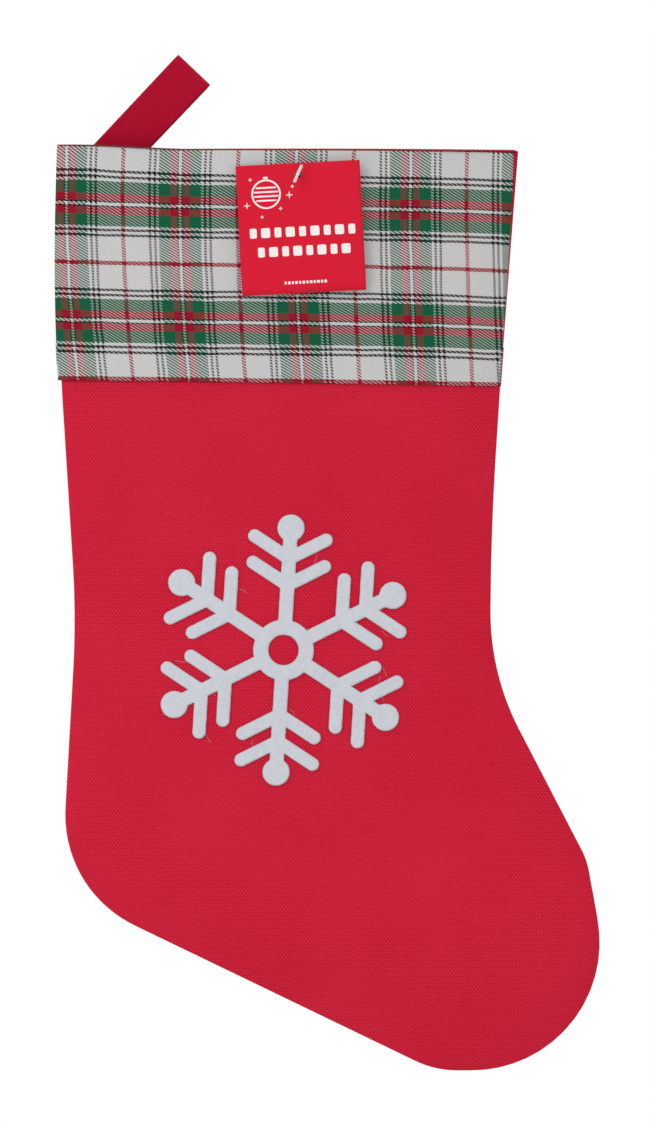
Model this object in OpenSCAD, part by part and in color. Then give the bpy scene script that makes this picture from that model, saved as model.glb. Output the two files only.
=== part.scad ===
// Hanging stocking: a lined canvas stocking with a folded plaid cuff, a felt snowflake,
// a ribbon loop to hang it by and a card tag on a plastic tag pin.
// Millimetres. +Z up, the front faces -Y, the toe points to +X. Origin at the loop's eye.
// The shape is first laid out in stocking coordinates: x from the cuff's back edge,
// z from the rim, and the two panels meet in the plane y = 0.

/* [Stocking outline] */
// Height from the rim to the lowest point of the foot
stocking_h = 431.8; // [380:1:520]
// Width across the rim, over the cuff
rim_w = 216.4; // [190:1:260]
// Distance from the cuff's back edge line to the leg's front edge at the ankle
leg_front_x = 204; // [180:1:240]
// How far the back edge curves inwards at the waist
back_curve_in = 9; // [4:0.2:14]
// Height of the waist over the base
waist_h = 212.6; // [190:1:250]
// Height of the heel corner over the base
heel_h = 84.7; // [70:1:102]
// Radius of the heel
heel_r = 57.5; // [45:1:70]
// Distance from the cuff's back edge line to the corner that the toe's arc rounds
toe_x = 266.3; // [250:1:320]
// Length of the flat under the toe, between its corners
toe_flat = 88.9; // [84:1:110]
// Radius under the ball of the foot
ball_r = 44.7; // [20:1:55]
// Radius of the toe
toe_r = 60; // [45:1:62]
// Height of the toe's upper corner over the base
toe_h = 98.7; // [82:1:118]
// How far the toe's front leans back at its upper corner
toe_lean = 17.6; // [10:0.2:22]
// Radius of the toe's upper corner
toe_top_r = 37; // [25:1:45]
// Height of the ankle's front bend over the base
ankle_h = 186.6; // [170:1:205]
// Radius of the ankle's front bend
ankle_r = 120; // [80:1:140]

/* [Fullness] */
// Depth of the open mouth between the panels
mouth_depth = 25; // [18:1:40]
// Depth of the leg and foot between the panels
leg_depth = 28; // [18:1:44]
// Exponent of the cross-section: 1 is a lens, 0.5 is an ellipse
fullness = 0.75; // [0.6:0.05:1]

/* [Cloth] */
// Thickness of a canvas panel
panel_t = 1; // [0.6:0.1:1.6]
// Thickness of the lining
lining_t = 0.6; // [0.4:0.1:1]
// Thickness of the cuff, folded double
cuff_t = 1; // [0.6:0.1:1.6]
// Gap between one layer of cloth and the next
layer_gap = 0.3; // [0.2:0.05:0.5]
// How far the lining rolls up over the rim
rim_roll = 0.8; // [0.4:0.1:1.6]
// Width of the turned-in edge along the side seam
seam_allowance_w = 7; // [5:0.5:8]
// How far the lining stays inside the outline
lining_inset = 9.5; // [9:0.5:14]
// Radius of the sewing thread
thread_r = 0.25; // [0.15:0.05:0.35]

/* [Cuff] */
// Height of the cuff at the back edge
cuff_back_h = 108; // [80:1:130]
// Height of the cuff at the front edge
cuff_front_h = 111; // [80:1:130]
// How far the cuff's back edge bulges past the rim's corner
cuff_bulge = 1.2; // [0:0.1:3]

/* [Snowflake] */
// Distance from the cuff's back edge line to the snowflake's centre
flake_x = 106.4; // [98:0.5:115]
// Distance of the snowflake's centre below the rim
flake_drop = 234.4; // [215:1:250]
// Turn of the snowflake, clockwise
flake_turn = 3.5; // [0:0.5:30]
// Distance from the snowflake's centre to an arm's end ball
flake_arm = 57.1; // [48:0.5:60]
// Width of an arm
arm_w = 6.8; // [5:0.2:8]
// Radius of an end ball
ball_end_r = 6.4; // [5:0.2:8]
// Inner radius of the middle ring
ring_in_r = 7; // [4:0.2:9]
// Outer radius of the middle ring
ring_out_r = 14.2; // [11:0.2:17]
// Distance from the centre to the inner pair of branches
inner_branch = 30.4; // [26:0.5:34]
// Distance from the centre to the outer pair of branches
outer_branch = 42.8; // [40:0.5:46]
// Length of a branch
branch_l = 19.3; // [16:0.5:22]
// Width of a branch
branch_w = 6.3; // [5:0.2:7]
// Thickness of the felt
felt_t = 1.2; // [0.8:0.1:2]
// Radius of a spot of glue
glue_r = 2.4; // [1.5:0.1:3]

/* [Hanging loop] */
// Width of the ribbon
ribbon_w = 20.4; // [15:0.2:24]
// Thickness of the ribbon
ribbon_t = 0.5; // [0.3:0.05:0.7]
// Radius inside the eye
eye_r = 4; // [3:0.1:5]
// Lean of the loop from upright, towards the toe
loop_lean = 43.4; // [0:0.2:45]
// Height of the eye's centre over the rim
eye_over_rim = 34.4; // [28:0.2:45]
// Distance from the cuff's back edge line to the eye's centre
eye_x = 61.4; // [55:0.2:75]
// Height over the rim at which the ribbon bends
bend_over_rim = 2.9; // [2.5:0.1:4]
// Gap in the ribbon about the bend
bend_gap = 2.2; // [2:0.1:3]

/* [Tag] */
// Width of the card
card_w = 58; // [45:0.5:70]
// Height of the card
card_h = 60.8; // [50:0.2:75]
// Thickness of the card
card_t = 0.5; // [0.3:0.05:0.8]
// Turn of the card, anticlockwise
card_turn = 3; // [0:0.2:8]
// Radius of the punched hole
card_hole_r = 1.6; // [1.4:0.1:2.5]
// Distance from the hole's centre to the card's top edge
hole_inset = 5.2; // [3.5:0.1:6]
// Distance from the cuff's back edge line to the pin
pin_x = 113.2; // [100:0.2:125]
// Distance of the pin below the rim
pin_drop = 12.2; // [9:0.2:20]
// Radius of the pin's filament
filament_r = 0.4; // [0.3:0.05:0.5]
// Clearance between the filament and the cloth around it
pin_clearance = 0.1; // [0.05:0.05:0.3]
// Gap between the cuff and the card
card_standoff = 3.2; // [3:0.1:5]
// Gap between the card and the pin's paddle
paddle_gap = 3.4; // [3.2:0.1:5]
// Length of the paddle
paddle_l = 9; // [7:0.5:11]
// Width of the paddle
paddle_w = 1.6; // [1.2:0.1:2]
// Lean of the paddle from upright
paddle_lean = 24; // [0:1:45]
// Length of the crossbar inside the stocking
crossbar_l = 8; // [6:0.5:10]
// Radius of the crossbar
crossbar_r = 0.6; // [0.5:0.05:0.8]

/* [Hidden] */
$fn = 48;

red = "crimson";
deep_red = "firebrick";
plaid = "darkseagreen";
felt_grey = "lightsteelblue";

FRONT = -1;
BACK = 1;
edge_gap = layer_gap / 2;            // half the gap between the two panels' edges
cuff_wrap = layer_gap + cuff_t;      // how far the cuff stands outside the body's edge
cuff_line_reach = 17.9;              // how far each gentle bend of the leg's edges reaches
waist_reach = 25;                     // from its corner
front_bend_reach = 31.5;
cuff_line_up = 8;                    // the back edge's first corner, over the cuff's lower edge
cuff_line_in = 1.5;                  // and in from the back edge line
heel_in = 1.8;                       // heel corner, in from the back edge line
ankle_in = 0.95;                     // ankle corner, in from the leg's front edge line
front_bend_down = 62;                // the front edge's first corner, under the cuff's lower edge
rib_turn_h = 231.8;                  // height over the base at which the ribs start to turn
arc_steps = 10;
leg_rows = 14;
foot_rows = 32;
cuff_rows = 9;
columns = 11;
leg_share = 0.4;                     // share of the rows' parameter that the leg takes
toe_stop = 0.985;                    // the shells end here, just short of the toe's tip
toe_start = 0.74;                    // from here the foot grows thinner towards the toe
leg_straight = stocking_h - rib_turn_h;
seam_half = edge_gap - 0.05;         // half thickness of what lies between the two panels' edges
join = 0.02;                         // overlap that joins two shapes of one piece
beyond = 400;                        // size of a cutting block, larger than the stocking's half

// ---- outline ----

function unit(v) = v / norm(v);
function half_angle(a, b, c) = acos(unit(a - b) * unit(c - b)) / 2;
function reach_of(a, b, c, r) = r / tan(half_angle(a, b, c));

// Points on the arc of radius r that rounds the corner b of the path a, b, c
function rounded(a, b, c, r) =
    let (
        u = unit(a - b), w = unit(c - b), reach = reach_of(a, b, c, r),
        middle = b + unit(u + w) * sqrt(reach * reach + r * r),
        from = b + u * reach - middle, to = b + w * reach - middle,
        a1 = atan2(from[1], from[0]),
        turn = (atan2(to[1], to[0]) - a1 + 540) % 360 - 180
    )
    [for (i = [0:arc_steps]) let (a = a1 + turn * i / arc_steps) middle + r * [cos(a), sin(a)]];

function bent(a, b, c, reach) = rounded(a, b, c, reach * tan(half_angle(a, b, c)));

// Point on a straight edge halfway between the arcs that round its two ends
function between_arcs(b, c, reach_b, reach_c) =
    b + unit(c - b) * (reach_b + (norm(c - b) - reach_b - reach_c) / 2);

// Corners of the body's outline, in (x, z)
rim_back = [cuff_wrap, 0];
cuff_line = [cuff_line_in, cuff_line_up - cuff_back_h];
waist = [back_curve_in, waist_h - stocking_h];
heel = [heel_in, heel_h - stocking_h];
ball = [toe_x - toe_flat, -stocking_h];
toe = [toe_x, -stocking_h];
toe_top = [toe_x - toe_lean, toe_h - stocking_h];
ankle = [leg_front_x - ankle_in, ankle_h - stocking_h];
front_bend = [leg_front_x, -(cuff_front_h + front_bend_down)];
rim_front = [rim_w - cuff_wrap, 0];

toe_tip = between_arcs(toe, toe_top, reach_of(ball, toe, toe_top, toe_r),
                       reach_of(toe, toe_top, ankle, toe_top_r));
back_leg = concat([rim_back], bent(rim_back, cuff_line, waist, cuff_line_reach),
                  bent(cuff_line, waist, heel, waist_reach));
back_path = concat(back_leg, rounded(waist, heel, ball, heel_r), rounded(heel, ball, toe, ball_r),
                   rounded(ball, toe, toe_top, toe_r), [toe_tip]);
front_leg = concat([rim_front], bent(rim_front, front_bend, ankle, front_bend_reach));
front_path = concat(front_leg, rounded(front_bend, ankle, toe_top, ankle_r),
                    rounded(ankle, toe_top, toe, toe_top_r), [toe_tip]);

// Distance along a path to each of its points
function run(p) = [for (i = 0, s = 0; i < len(p);
                        s = s + (i + 1 < len(p) ? norm(p[i + 1] - p[i]) : 0), i = i + 1) s];
function table(keys, values) = [for (i = [0:len(keys) - 1]) [keys[i], values[i]]];

back_run = run(back_path);
front_run = run(front_path);
back_xs = table(back_run, [for (p = back_path) p[0]]);
back_zs = table(back_run, [for (p = back_path) p[1]]);
front_xs = table(front_run, [for (p = front_path) p[0]]);
front_zs = table(front_run, [for (p = front_path) p[1]]);
back_levels = table([for (p = back_leg) -p[1]], back_run);
front_levels = table([for (p = front_leg) -p[1]], front_run);
back_end = back_run[len(back_run) - 1];
front_end = front_run[len(front_run) - 1];

function back_at(s) = [lookup(s, back_xs), lookup(s, back_zs)];
function front_at(s) = [lookup(s, front_xs), lookup(s, front_zs)];

// Distance along an edge to the point at a level below the rim
function level_run(level, levels) =
    let (last = levels[len(levels) - 1])
    level <= last[0] ? lookup(level, levels) : last[1] + (level - last[0]);

// The rib at t, 0 at the rim and 1 at the toe's tip: its ends on the back and the front edge
back_leg_end = level_run(leg_straight, back_levels);
front_leg_end = level_run(leg_straight, front_levels);
function along(t, leg_end, path_end) =
    t < leg_share ? leg_end * t / leg_share
                  : leg_end + (path_end - leg_end) * (t - leg_share) / (1 - leg_share);
function rib(t) = [back_at(along(t, back_leg_end, back_end)), front_at(along(t, front_leg_end, front_end))];

// ---- fullness ----

function cross_section(v) = pow(max(0, 4 * v * (1 - v)), fullness);
function toe_close(t, stop) =
    t < toe_start ? 1 : pow(max(0, 1 - pow((t - toe_start) / (stop - toe_start), 2)), fullness);
function half_depth(t) = lookup(t, [[0, mouth_depth / 2], [leg_share, leg_depth / 2], [1, leg_depth / 2]]);

// ---- shells ----

// Faces of a closed wall between two grids of points, the outer one first
function wall_faces(rows, cols, side) =
    let (
        o = function(i, j) i * cols + j,
        n = function(i, j) (rows + i) * cols + j,
        quads = concat(
            [for (i = [0:rows - 2], j = [0:cols - 2]) [o(i, j), o(i, j + 1), o(i + 1, j + 1), o(i + 1, j)]],
            [for (i = [0:rows - 2], j = [0:cols - 2]) [n(i, j), n(i + 1, j), n(i + 1, j + 1), n(i, j + 1)]],
            [for (j = [0:cols - 2]) [n(0, j), n(0, j + 1), o(0, j + 1), o(0, j)]],
            [for (j = [0:cols - 2]) [o(rows - 1, j), o(rows - 1, j + 1), n(rows - 1, j + 1), n(rows - 1, j)]],
            [for (i = [0:rows - 2]) [n(i, 0), o(i, 0), o(i + 1, 0), n(i + 1, 0)]],
            [for (i = [0:rows - 2]) [n(i, cols - 1), n(i + 1, cols - 1), o(i + 1, cols - 1), o(i, cols - 1)]]
        )
    )
    [for (q = quads, k = [0, 1])
        let (a = q[0], b = q[k + 1], c = q[k + 2]) side == FRONT ? [a, b, c] : [c, b, a]];

module wall(outer, inner, side) {
    rows = len(outer);
    cols = len(outer[0]);
    points = concat([for (row = outer) each row], [for (row = inner) each row]);
    polyhedron(points = points, faces = wall_faces(rows, cols, side), convexity = 6);
}

function spread(from, to, count) = [for (i = [0:count]) from + (to - from) * i / count];
all_rows = concat(spread(0, leg_share, leg_rows),
                  [for (i = [1:foot_rows]) leg_share + (toe_stop - leg_share) * i / foot_rows]);

// One layer of a side of the stocking, lying off the panel's inner face by near to far
function layer_grid(side, rows, inset, drop, off, stop, rise) = [
    for (i = [0:len(rows) - 1])
    let (
        t = rows[i], r = rib(t), across = r[1] - r[0], w = norm(across), in_v = inset / w,
        depth = (half_depth(t) - drop) * toe_close(t, stop)
    )
    [for (v = spread(0, 1, columns))
        let (p = r[0] + across * (in_v + v * (1 - 2 * in_v)))
        [p[0], side * (edge_gap + depth * cross_section(v) + off), p[1] + (i == 0 ? rise : 0)]]
];

module layer(side, rows, near, far, inset = 0, drop = 0, stop = toe_stop, rise = 0) {
    wall(layer_grid(side, rows, inset, drop, far, stop, rise),
         layer_grid(side, rows, inset, drop, near, stop, rise), side);
}

module panel(side) layer(side, all_rows, 0, panel_t, rise = -layer_gap);

lining_toe_gap = 6;                  // the lining stops this much further in at the toe
lining_leg_rows = 10;
lining_foot_rows = 16;
lining_stop = 1 - (lining_inset + lining_toe_gap) / (front_end - front_leg_end) * (1 - leg_share);
lining_rows = concat(spread(0, leg_share, lining_leg_rows),
                     [for (i = [1:lining_foot_rows])
                      leg_share + (lining_stop - leg_share) * i / lining_foot_rows]);
lining_drop = lining_t + layer_gap;
module lining(side) {
    layer(side, lining_rows, 0, lining_t, inset = lining_inset, drop = lining_drop,
          stop = lining_stop, rise = rim_roll);
}

// ---- cuff ----

// Columns across the cuff: its side walls turn round the body's edge in the first and last one
function cuff_row(side, share, off) =
    let (
        back = back_at(level_run(share * cuff_back_h, back_levels)),
        front = front_at(level_run(share * cuff_front_h, front_levels)),
        t = leg_share * share * (cuff_back_h + cuff_front_h) / 2 / leg_straight,
        bulge = [cuff_bulge * sin(180 * min(1, share)) + cuff_wrap, 0],
        left = back - bulge, right = front + [cuff_wrap, 0],
        turn = cuff_wrap / (right[0] - left[0])
    )
    [for (v = concat([0, turn], [for (j = [1:columns - 1]) j / columns], [1 - turn, 1]))
        let (p = left + (right - left) * v,
             over_panel = v == 0 || v == 1 ? 0 : panel_t + layer_gap + half_depth(t) * cross_section(v))
        [p[0], side * (edge_gap + off + over_panel), p[1]]];

module cuff(side) {
    shares = spread(0, 1, cuff_rows);
    wall([for (s = shares) cuff_row(side, s, cuff_t)], [for (s = shares) cuff_row(side, s, 0)], side);
}

// ---- threads and seam edges ----

// Thread swept along a path of (x, z) points in the seam plane, flat enough to lie in the gap
module thread_along(points) {
    sides = [[-1, -1], [1, -1], [1, 1], [-1, 1]];
    last = len(points) - 1;
    function way(i) = unit(points[min(last, i + 1)] - points[max(0, i - 1)]);
    grid = [for (i = [0:last])
        let (d = way(i), across = [-d[1], d[0]])
        for (s = sides) [points[i][0] + across[0] * s[0] * thread_r, s[1] * seam_half,
                         points[i][1] + across[1] * s[0] * thread_r]];
    faces = concat(
        [for (i = [0:last - 1], k = [0:3], half = [0, 1])
            let (a = 4 * i + k, b = 4 * i + (k + 1) % 4)
            half == 0 ? [a, b, b + 4] : [a, b + 4, a + 4]],
        [[0, 3, 2, 1]], [[4 * last, 4 * last + 1, 4 * last + 2, 4 * last + 3]]
    );
    polyhedron(points = grid, faces = faces, convexity = 6);
}

// The whole outline from the rim's back corner round the foot to the rim's front corner, moved in
function inward(path, distance) = [
    for (i = [0:len(path) - 1])
    let (d = unit(path[min(len(path) - 1, i + 1)] - path[max(0, i - 1)]))
    path[i] + distance * [-d[1], d[0]]
];
seam_step = 8;
function seam_line(distance) =
    let (
        back_count = floor(back_end / seam_step), front_count = floor(front_end / seam_step),
        down = [for (i = [1:back_count - 1]) back_at(back_end * i / back_count)],
        up = [for (i = [front_count - 1:-1:1]) front_at(front_end * i / front_count)]
    )
    inward(concat(down, up), distance);

seam_start = 0.6;                    // the turned-in edge begins just inside the outline
seam_in = 1;                         // the stitches run this far inside an edge
module seam_allowance() color(red) on_stocking() {
    outer = seam_line(seam_start);
    inner = seam_line(seam_start + seam_allowance_w);
    rotate([90, 0, 0]) linear_extrude(height = 2 * seam_half, center = true)
        polygon(concat(outer, [for (i = [len(inner) - 1:-1:0]) inner[i]]));
}

module side_seam_thread() color(deep_red) on_stocking() thread_along(seam_line(seam_start + seam_in));

module lining_seam_thread() color(deep_red) on_stocking() thread_along(seam_line(lining_inset + seam_in));

module cuff_seam_thread() color(deep_red) on_stocking() {
    first = seam_step / (cuff_back_h + cuff_front_h);
    rows = [for (share = spread(first, 1 - first, cuff_rows)) cuff_row(FRONT, share, 0)];
    edge_in = 2 * thread_r;
    thread_along([for (row = rows) [row[0][0] + edge_in, row[0][2]]]);
    thread_along([for (row = rows) let (p = row[len(row) - 1]) [p[0] - edge_in, p[2]]]);
}

// Two rows of stitching along the rim, one on each panel, in the gap under the cuff
rim_thread_drop = 5;
module rim_thread() color(deep_red) on_stocking()
    for (side = [FRONT, BACK]) {
        t = leg_share * rim_thread_drop / leg_straight;
        r = rib(t);
        gap_middle = edge_gap + panel_t + layer_gap / 2;
        spots = [for (j = [1:columns - 1])
                 let (v = j / columns, p = r[0] + (r[1] - r[0]) * v)
                 [p[0], side * (gap_middle + half_depth(t) * cross_section(v)), p[1]]];
        out = [0, side * seam_half, 0];
        up = [0, 0, thread_r];
        wall([[for (p = spots) p + out + up], [for (p = spots) p + out - up]],
             [[for (p = spots) p - out + up], [for (p = spots) p - out - up]], side);
    }

// ---- snowflake ----

module on_stocking() translate([-eye_x, 0, -eye_over_rim]) children();
module on_flake() translate([flake_x, 0, -flake_drop]) rotate([90, flake_turn, 0]) children();

module bar(length, width) {
    translate([0, -width / 2]) square([length, width]);
    translate([length, 0]) circle(d = width);
}

module flake_outline() {
    difference() {
        union() {
            circle(r = ring_out_r);
            for (k = [0:5]) rotate(30 + 60 * k) {
                translate([(ring_in_r + ring_out_r) / 2, 0])
                    bar(flake_arm - (ring_in_r + ring_out_r) / 2, arm_w);
                translate([flake_arm, 0]) circle(r = ball_end_r);
                for (at = [inner_branch, outer_branch], turn = [-60, 60])
                    translate([at, 0]) rotate(turn) bar(branch_l, branch_w);
            }
        }
        circle(r = ring_in_r);
    }
}

// Rows of the panel's own grid that the snowflake lies over
flake_margin = 22;
flake_span = flake_arm + ball_end_r + flake_margin;
flake_rows = [for (t = all_rows) let (r = rib(t), middle = (r[0][1] + r[1][1]) / 2)
              if (abs(middle + flake_drop) < flake_span) t];

module snowflake() color(felt_grey) on_stocking() intersection() {
    on_flake() linear_extrude(height = leg_depth) flake_outline();
    layer(FRONT, flake_rows, panel_t + layer_gap, panel_t + layer_gap + felt_t);
}

module snowflake_glue() color("ivory") on_stocking() intersection() {
    on_flake() linear_extrude(height = leg_depth)
        for (k = [0:5]) rotate(30 + 60 * k) {
            translate([flake_arm, 0]) circle(r = glue_r);
            translate([(ring_out_r + inner_branch) / 2, 0]) circle(r = glue_r);
        }
    layer(FRONT, flake_rows, panel_t, panel_t + layer_gap);
}

// ---- ribbon loop ----

bend_z = bend_over_rim - eye_over_rim;   // height of the bend under the eye
leg_run = (eye_over_rim - bend_over_rim) / cos(loop_lean) + ribbon_w / 2 * tan(loop_lean);
closed_half = 0.1;                       // half the gap where the two plies come together
ply_span = norm([leg_run, closed_half]);
ply_slope = asin(eye_r / ply_span) - atan2(closed_half, leg_run);

// A ply of ribbon from the eye down, for the front (-1) or the back (1)
module ply(side) mirror([0, side < 0 ? 1 : 0, 0])
    rotate([-ply_slope, 0, 0]) translate([-ribbon_w / 2, eye_r, -leg_run])
        cube([ribbon_w, ribbon_t, leg_run + join]);

module hanging_loop() color(deep_red) intersection() {
    rotate([0, loop_lean, 0]) {
        rotate([0, 90, 0]) rotate([0, 0, 90 - ply_slope])
            translate([0, 0, -ribbon_w / 2]) rotate_extrude(angle = 180 + 2 * ply_slope)
                translate([eye_r, 0]) square([ribbon_t, ribbon_w]);
        for (side = [FRONT, BACK]) ply(side);
    }
    translate([-beyond / 2, -beyond / 2, bend_z + bend_gap / 2]) cube(beyond);
}

// The sewn-in ends of the ribbon, between the linings, from the bend down to the back seam
seam_to_tail = 4;                        // from the lining's edge to the ribbon's ends
tail_x = cuff_wrap + lining_inset + seam_to_tail - eye_x;
tail_half = closed_half + ribbon_t;
tail_l = 3 * leg_run;
module loop_tail() color(deep_red) intersection() {
    rotate([0, loop_lean, 0]) for (side = [FRONT, BACK])
        translate([-ribbon_w / 2, side < 0 ? -tail_half : closed_half, -tail_l])
            cube([ribbon_w, ribbon_t, tail_l]);
    translate([tail_x, -beyond / 2, bend_z - bend_gap / 2 - beyond]) cube(beyond);
}

// Zigzag of thread that holds the ribbon's ends, near their cut edge
bartack_w = 2.4;
bartack_h = 12;
bartack_in = 2.2;
bartack_half = tail_half + 0.3;
bartack_run = min((-tail_x - bartack_in) / sin(loop_lean), tail_l - bartack_h);
module loop_bartack() color(deep_red)
    translate([-bartack_run * sin(loop_lean), 0, -bartack_run * cos(loop_lean)])
        cube([bartack_w, 2 * bartack_half, bartack_h], center = true);

// ---- tag and its pin ----

pin_t = leg_share * pin_drop / leg_straight;
pin_rib = rib(pin_t);
pin_v = (pin_x - pin_rib[0][0]) / (pin_rib[1][0] - pin_rib[0][0]);
panel_y = edge_gap + half_depth(pin_t) * cross_section(pin_v);   // the front panel's inner face there
lining_y = panel_y - layer_gap - lining_t;                        // and the lining's
cuff_y = panel_y + panel_t + layer_gap + cuff_t;
card_y = cuff_y + card_standoff;
paddle_y = card_y + card_t + paddle_gap;
paddle_t = 1.2;
crossbar_gap = 0.5;                  // between the crossbar and the lining
filament_bite = 0.3;                 // how far the filament runs into the paddle

module on_pin() translate([pin_x, 0, -pin_drop]) children();
module pin_hole() on_pin() rotate([90, 0, 0]) cylinder(r = filament_r + pin_clearance, h = paddle_y);

module tag_pin() color("white") on_stocking() on_pin() {
    crossbar_y = lining_y - crossbar_gap - crossbar_r;
    rotate([90, 0, 0]) translate([0, 0, crossbar_y])
        cylinder(r = filament_r, h = paddle_y + filament_bite - crossbar_y);
    translate([-crossbar_l / 2, -crossbar_y, 0]) rotate([0, 90, 0]) cylinder(r = crossbar_r, h = crossbar_l);
    translate([0, -paddle_y, 0]) rotate([90, 0, 0]) rotate(-paddle_lean) linear_extrude(height = paddle_t)
        difference() {
            union() {
                square([paddle_w, paddle_l - paddle_w], center = true);
                for (end = [-1, 1]) translate([0, end * (paddle_l - paddle_w) / 2]) circle(d = paddle_w);
            }
            translate([0, paddle_l / 4]) circle(d = paddle_w / 3);
        }
}

module hang_tag() color(red) on_stocking() on_pin() translate([0, -card_y, 0]) rotate([90, -card_turn, 0])
    linear_extrude(height = card_t) difference() {
        translate([-card_w / 2, hole_inset - card_h]) square([card_w, card_h]);
        circle(r = card_hole_r);
    }

// ---- cloth pieces ----

module front_panel() color(red) on_stocking() difference() {
    panel(FRONT);
    pin_hole();
}
module back_panel() color(red) on_stocking() panel(BACK);
module front_lining() color(deep_red) on_stocking() difference() {
    lining(FRONT);
    pin_hole();
}
module back_lining() color(deep_red) on_stocking() lining(BACK);
module cuff_front() color(plaid) on_stocking() difference() {
    cuff(FRONT);
    pin_hole();
}
module cuff_back() color(red) on_stocking() cuff(BACK);

hanging_loop();
front_panel();
back_panel();
front_lining();
back_lining();
seam_allowance();
side_seam_thread();
lining_seam_thread();
cuff_front();
cuff_back();
cuff_seam_thread();
rim_thread();
snowflake();
snowflake_glue();
loop_tail();
loop_bartack();
tag_pin();
hang_tag();
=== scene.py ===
"""Looks of a hanging stocking: lined canvas, a folded plaid cuff, a felt snowflake and a card tag."""

import logging
import math
from dataclasses import dataclass, field
from enum import Enum

import bpy
import numpy as np
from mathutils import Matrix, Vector


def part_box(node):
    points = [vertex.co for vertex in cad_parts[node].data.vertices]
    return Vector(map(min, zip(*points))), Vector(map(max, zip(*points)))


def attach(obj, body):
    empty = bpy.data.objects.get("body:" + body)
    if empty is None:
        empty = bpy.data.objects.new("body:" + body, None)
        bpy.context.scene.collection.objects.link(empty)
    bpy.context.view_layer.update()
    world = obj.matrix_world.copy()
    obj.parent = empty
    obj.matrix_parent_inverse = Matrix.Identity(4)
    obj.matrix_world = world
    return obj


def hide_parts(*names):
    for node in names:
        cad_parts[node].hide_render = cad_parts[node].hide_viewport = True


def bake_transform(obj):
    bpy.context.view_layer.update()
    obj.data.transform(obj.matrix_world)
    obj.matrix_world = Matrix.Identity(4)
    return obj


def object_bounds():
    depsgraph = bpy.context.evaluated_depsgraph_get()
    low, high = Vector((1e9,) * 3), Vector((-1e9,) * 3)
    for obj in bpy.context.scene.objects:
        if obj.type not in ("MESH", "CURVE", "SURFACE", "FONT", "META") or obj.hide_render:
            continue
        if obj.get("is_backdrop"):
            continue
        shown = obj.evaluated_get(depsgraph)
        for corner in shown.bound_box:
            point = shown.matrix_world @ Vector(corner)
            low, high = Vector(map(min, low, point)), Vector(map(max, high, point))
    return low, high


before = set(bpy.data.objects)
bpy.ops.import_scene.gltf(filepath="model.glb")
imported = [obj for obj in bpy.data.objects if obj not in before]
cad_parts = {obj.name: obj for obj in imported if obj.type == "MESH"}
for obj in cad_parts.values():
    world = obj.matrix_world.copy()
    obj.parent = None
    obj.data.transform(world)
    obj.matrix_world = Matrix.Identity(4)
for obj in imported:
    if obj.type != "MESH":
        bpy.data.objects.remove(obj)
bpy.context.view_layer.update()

log = logging.getLogger("stocking")
MM = 0.001
Grid = np.ndarray
Colour = tuple[float, float, float]


# ---------------------------------------------------------------- choices

class Side(Enum):
    """The two sides of the stocking: the decorated front looks along -Y."""

    FRONT = -1
    BACK = 1


# ---------------------------------------------------------------- numbers

def linear(red: float, green: float, blue: float) -> tuple[float, float, float, float]:
    """Turns a display colour of 0 to 255 into scene-linear values.

    Args:
        red, green, blue: The colour as a display shows it.

    Returns:
        Linear red, green and blue, with an alpha of one.
    """
    share = np.array([red, green, blue]) / 255.0
    low, high = share / 12.92, ((share + 0.055) / 1.055) ** 2.4
    return (*np.where(share <= 0.04045, low, high).tolist(), 1.0)


def unit(vectors: Grid) -> Grid:
    """Scales vectors along the last axis to length one."""
    return vectors / np.linalg.norm(vectors, axis=-1, keepdims=True)


def xyz(x: Grid | float, y: Grid | float, z: Grid | float) -> Grid:
    """Stacks three coordinates into points; any of them may be a single number."""
    return np.stack(np.broadcast_arrays(x, y, z), axis=-1)


def rounding(distance: Grid, radius: float) -> Grid:
    """Quarter circle from 0 at an edge to 1 at `radius` inside it: the root of 1 - (1 - d/r) squared."""
    return np.sqrt(1.0 - (1.0 - np.clip(distance / radius, 0.0, 1.0)) ** 2)


def ease(count: int) -> Grid:
    """Places from 0 to 1 that crowd at both ends, as half a turn of a cosine."""
    return (1.0 - np.cos(np.linspace(0.0, math.pi, count))) / 2.0


# ---------------------------------------------------------------- meshes

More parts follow.
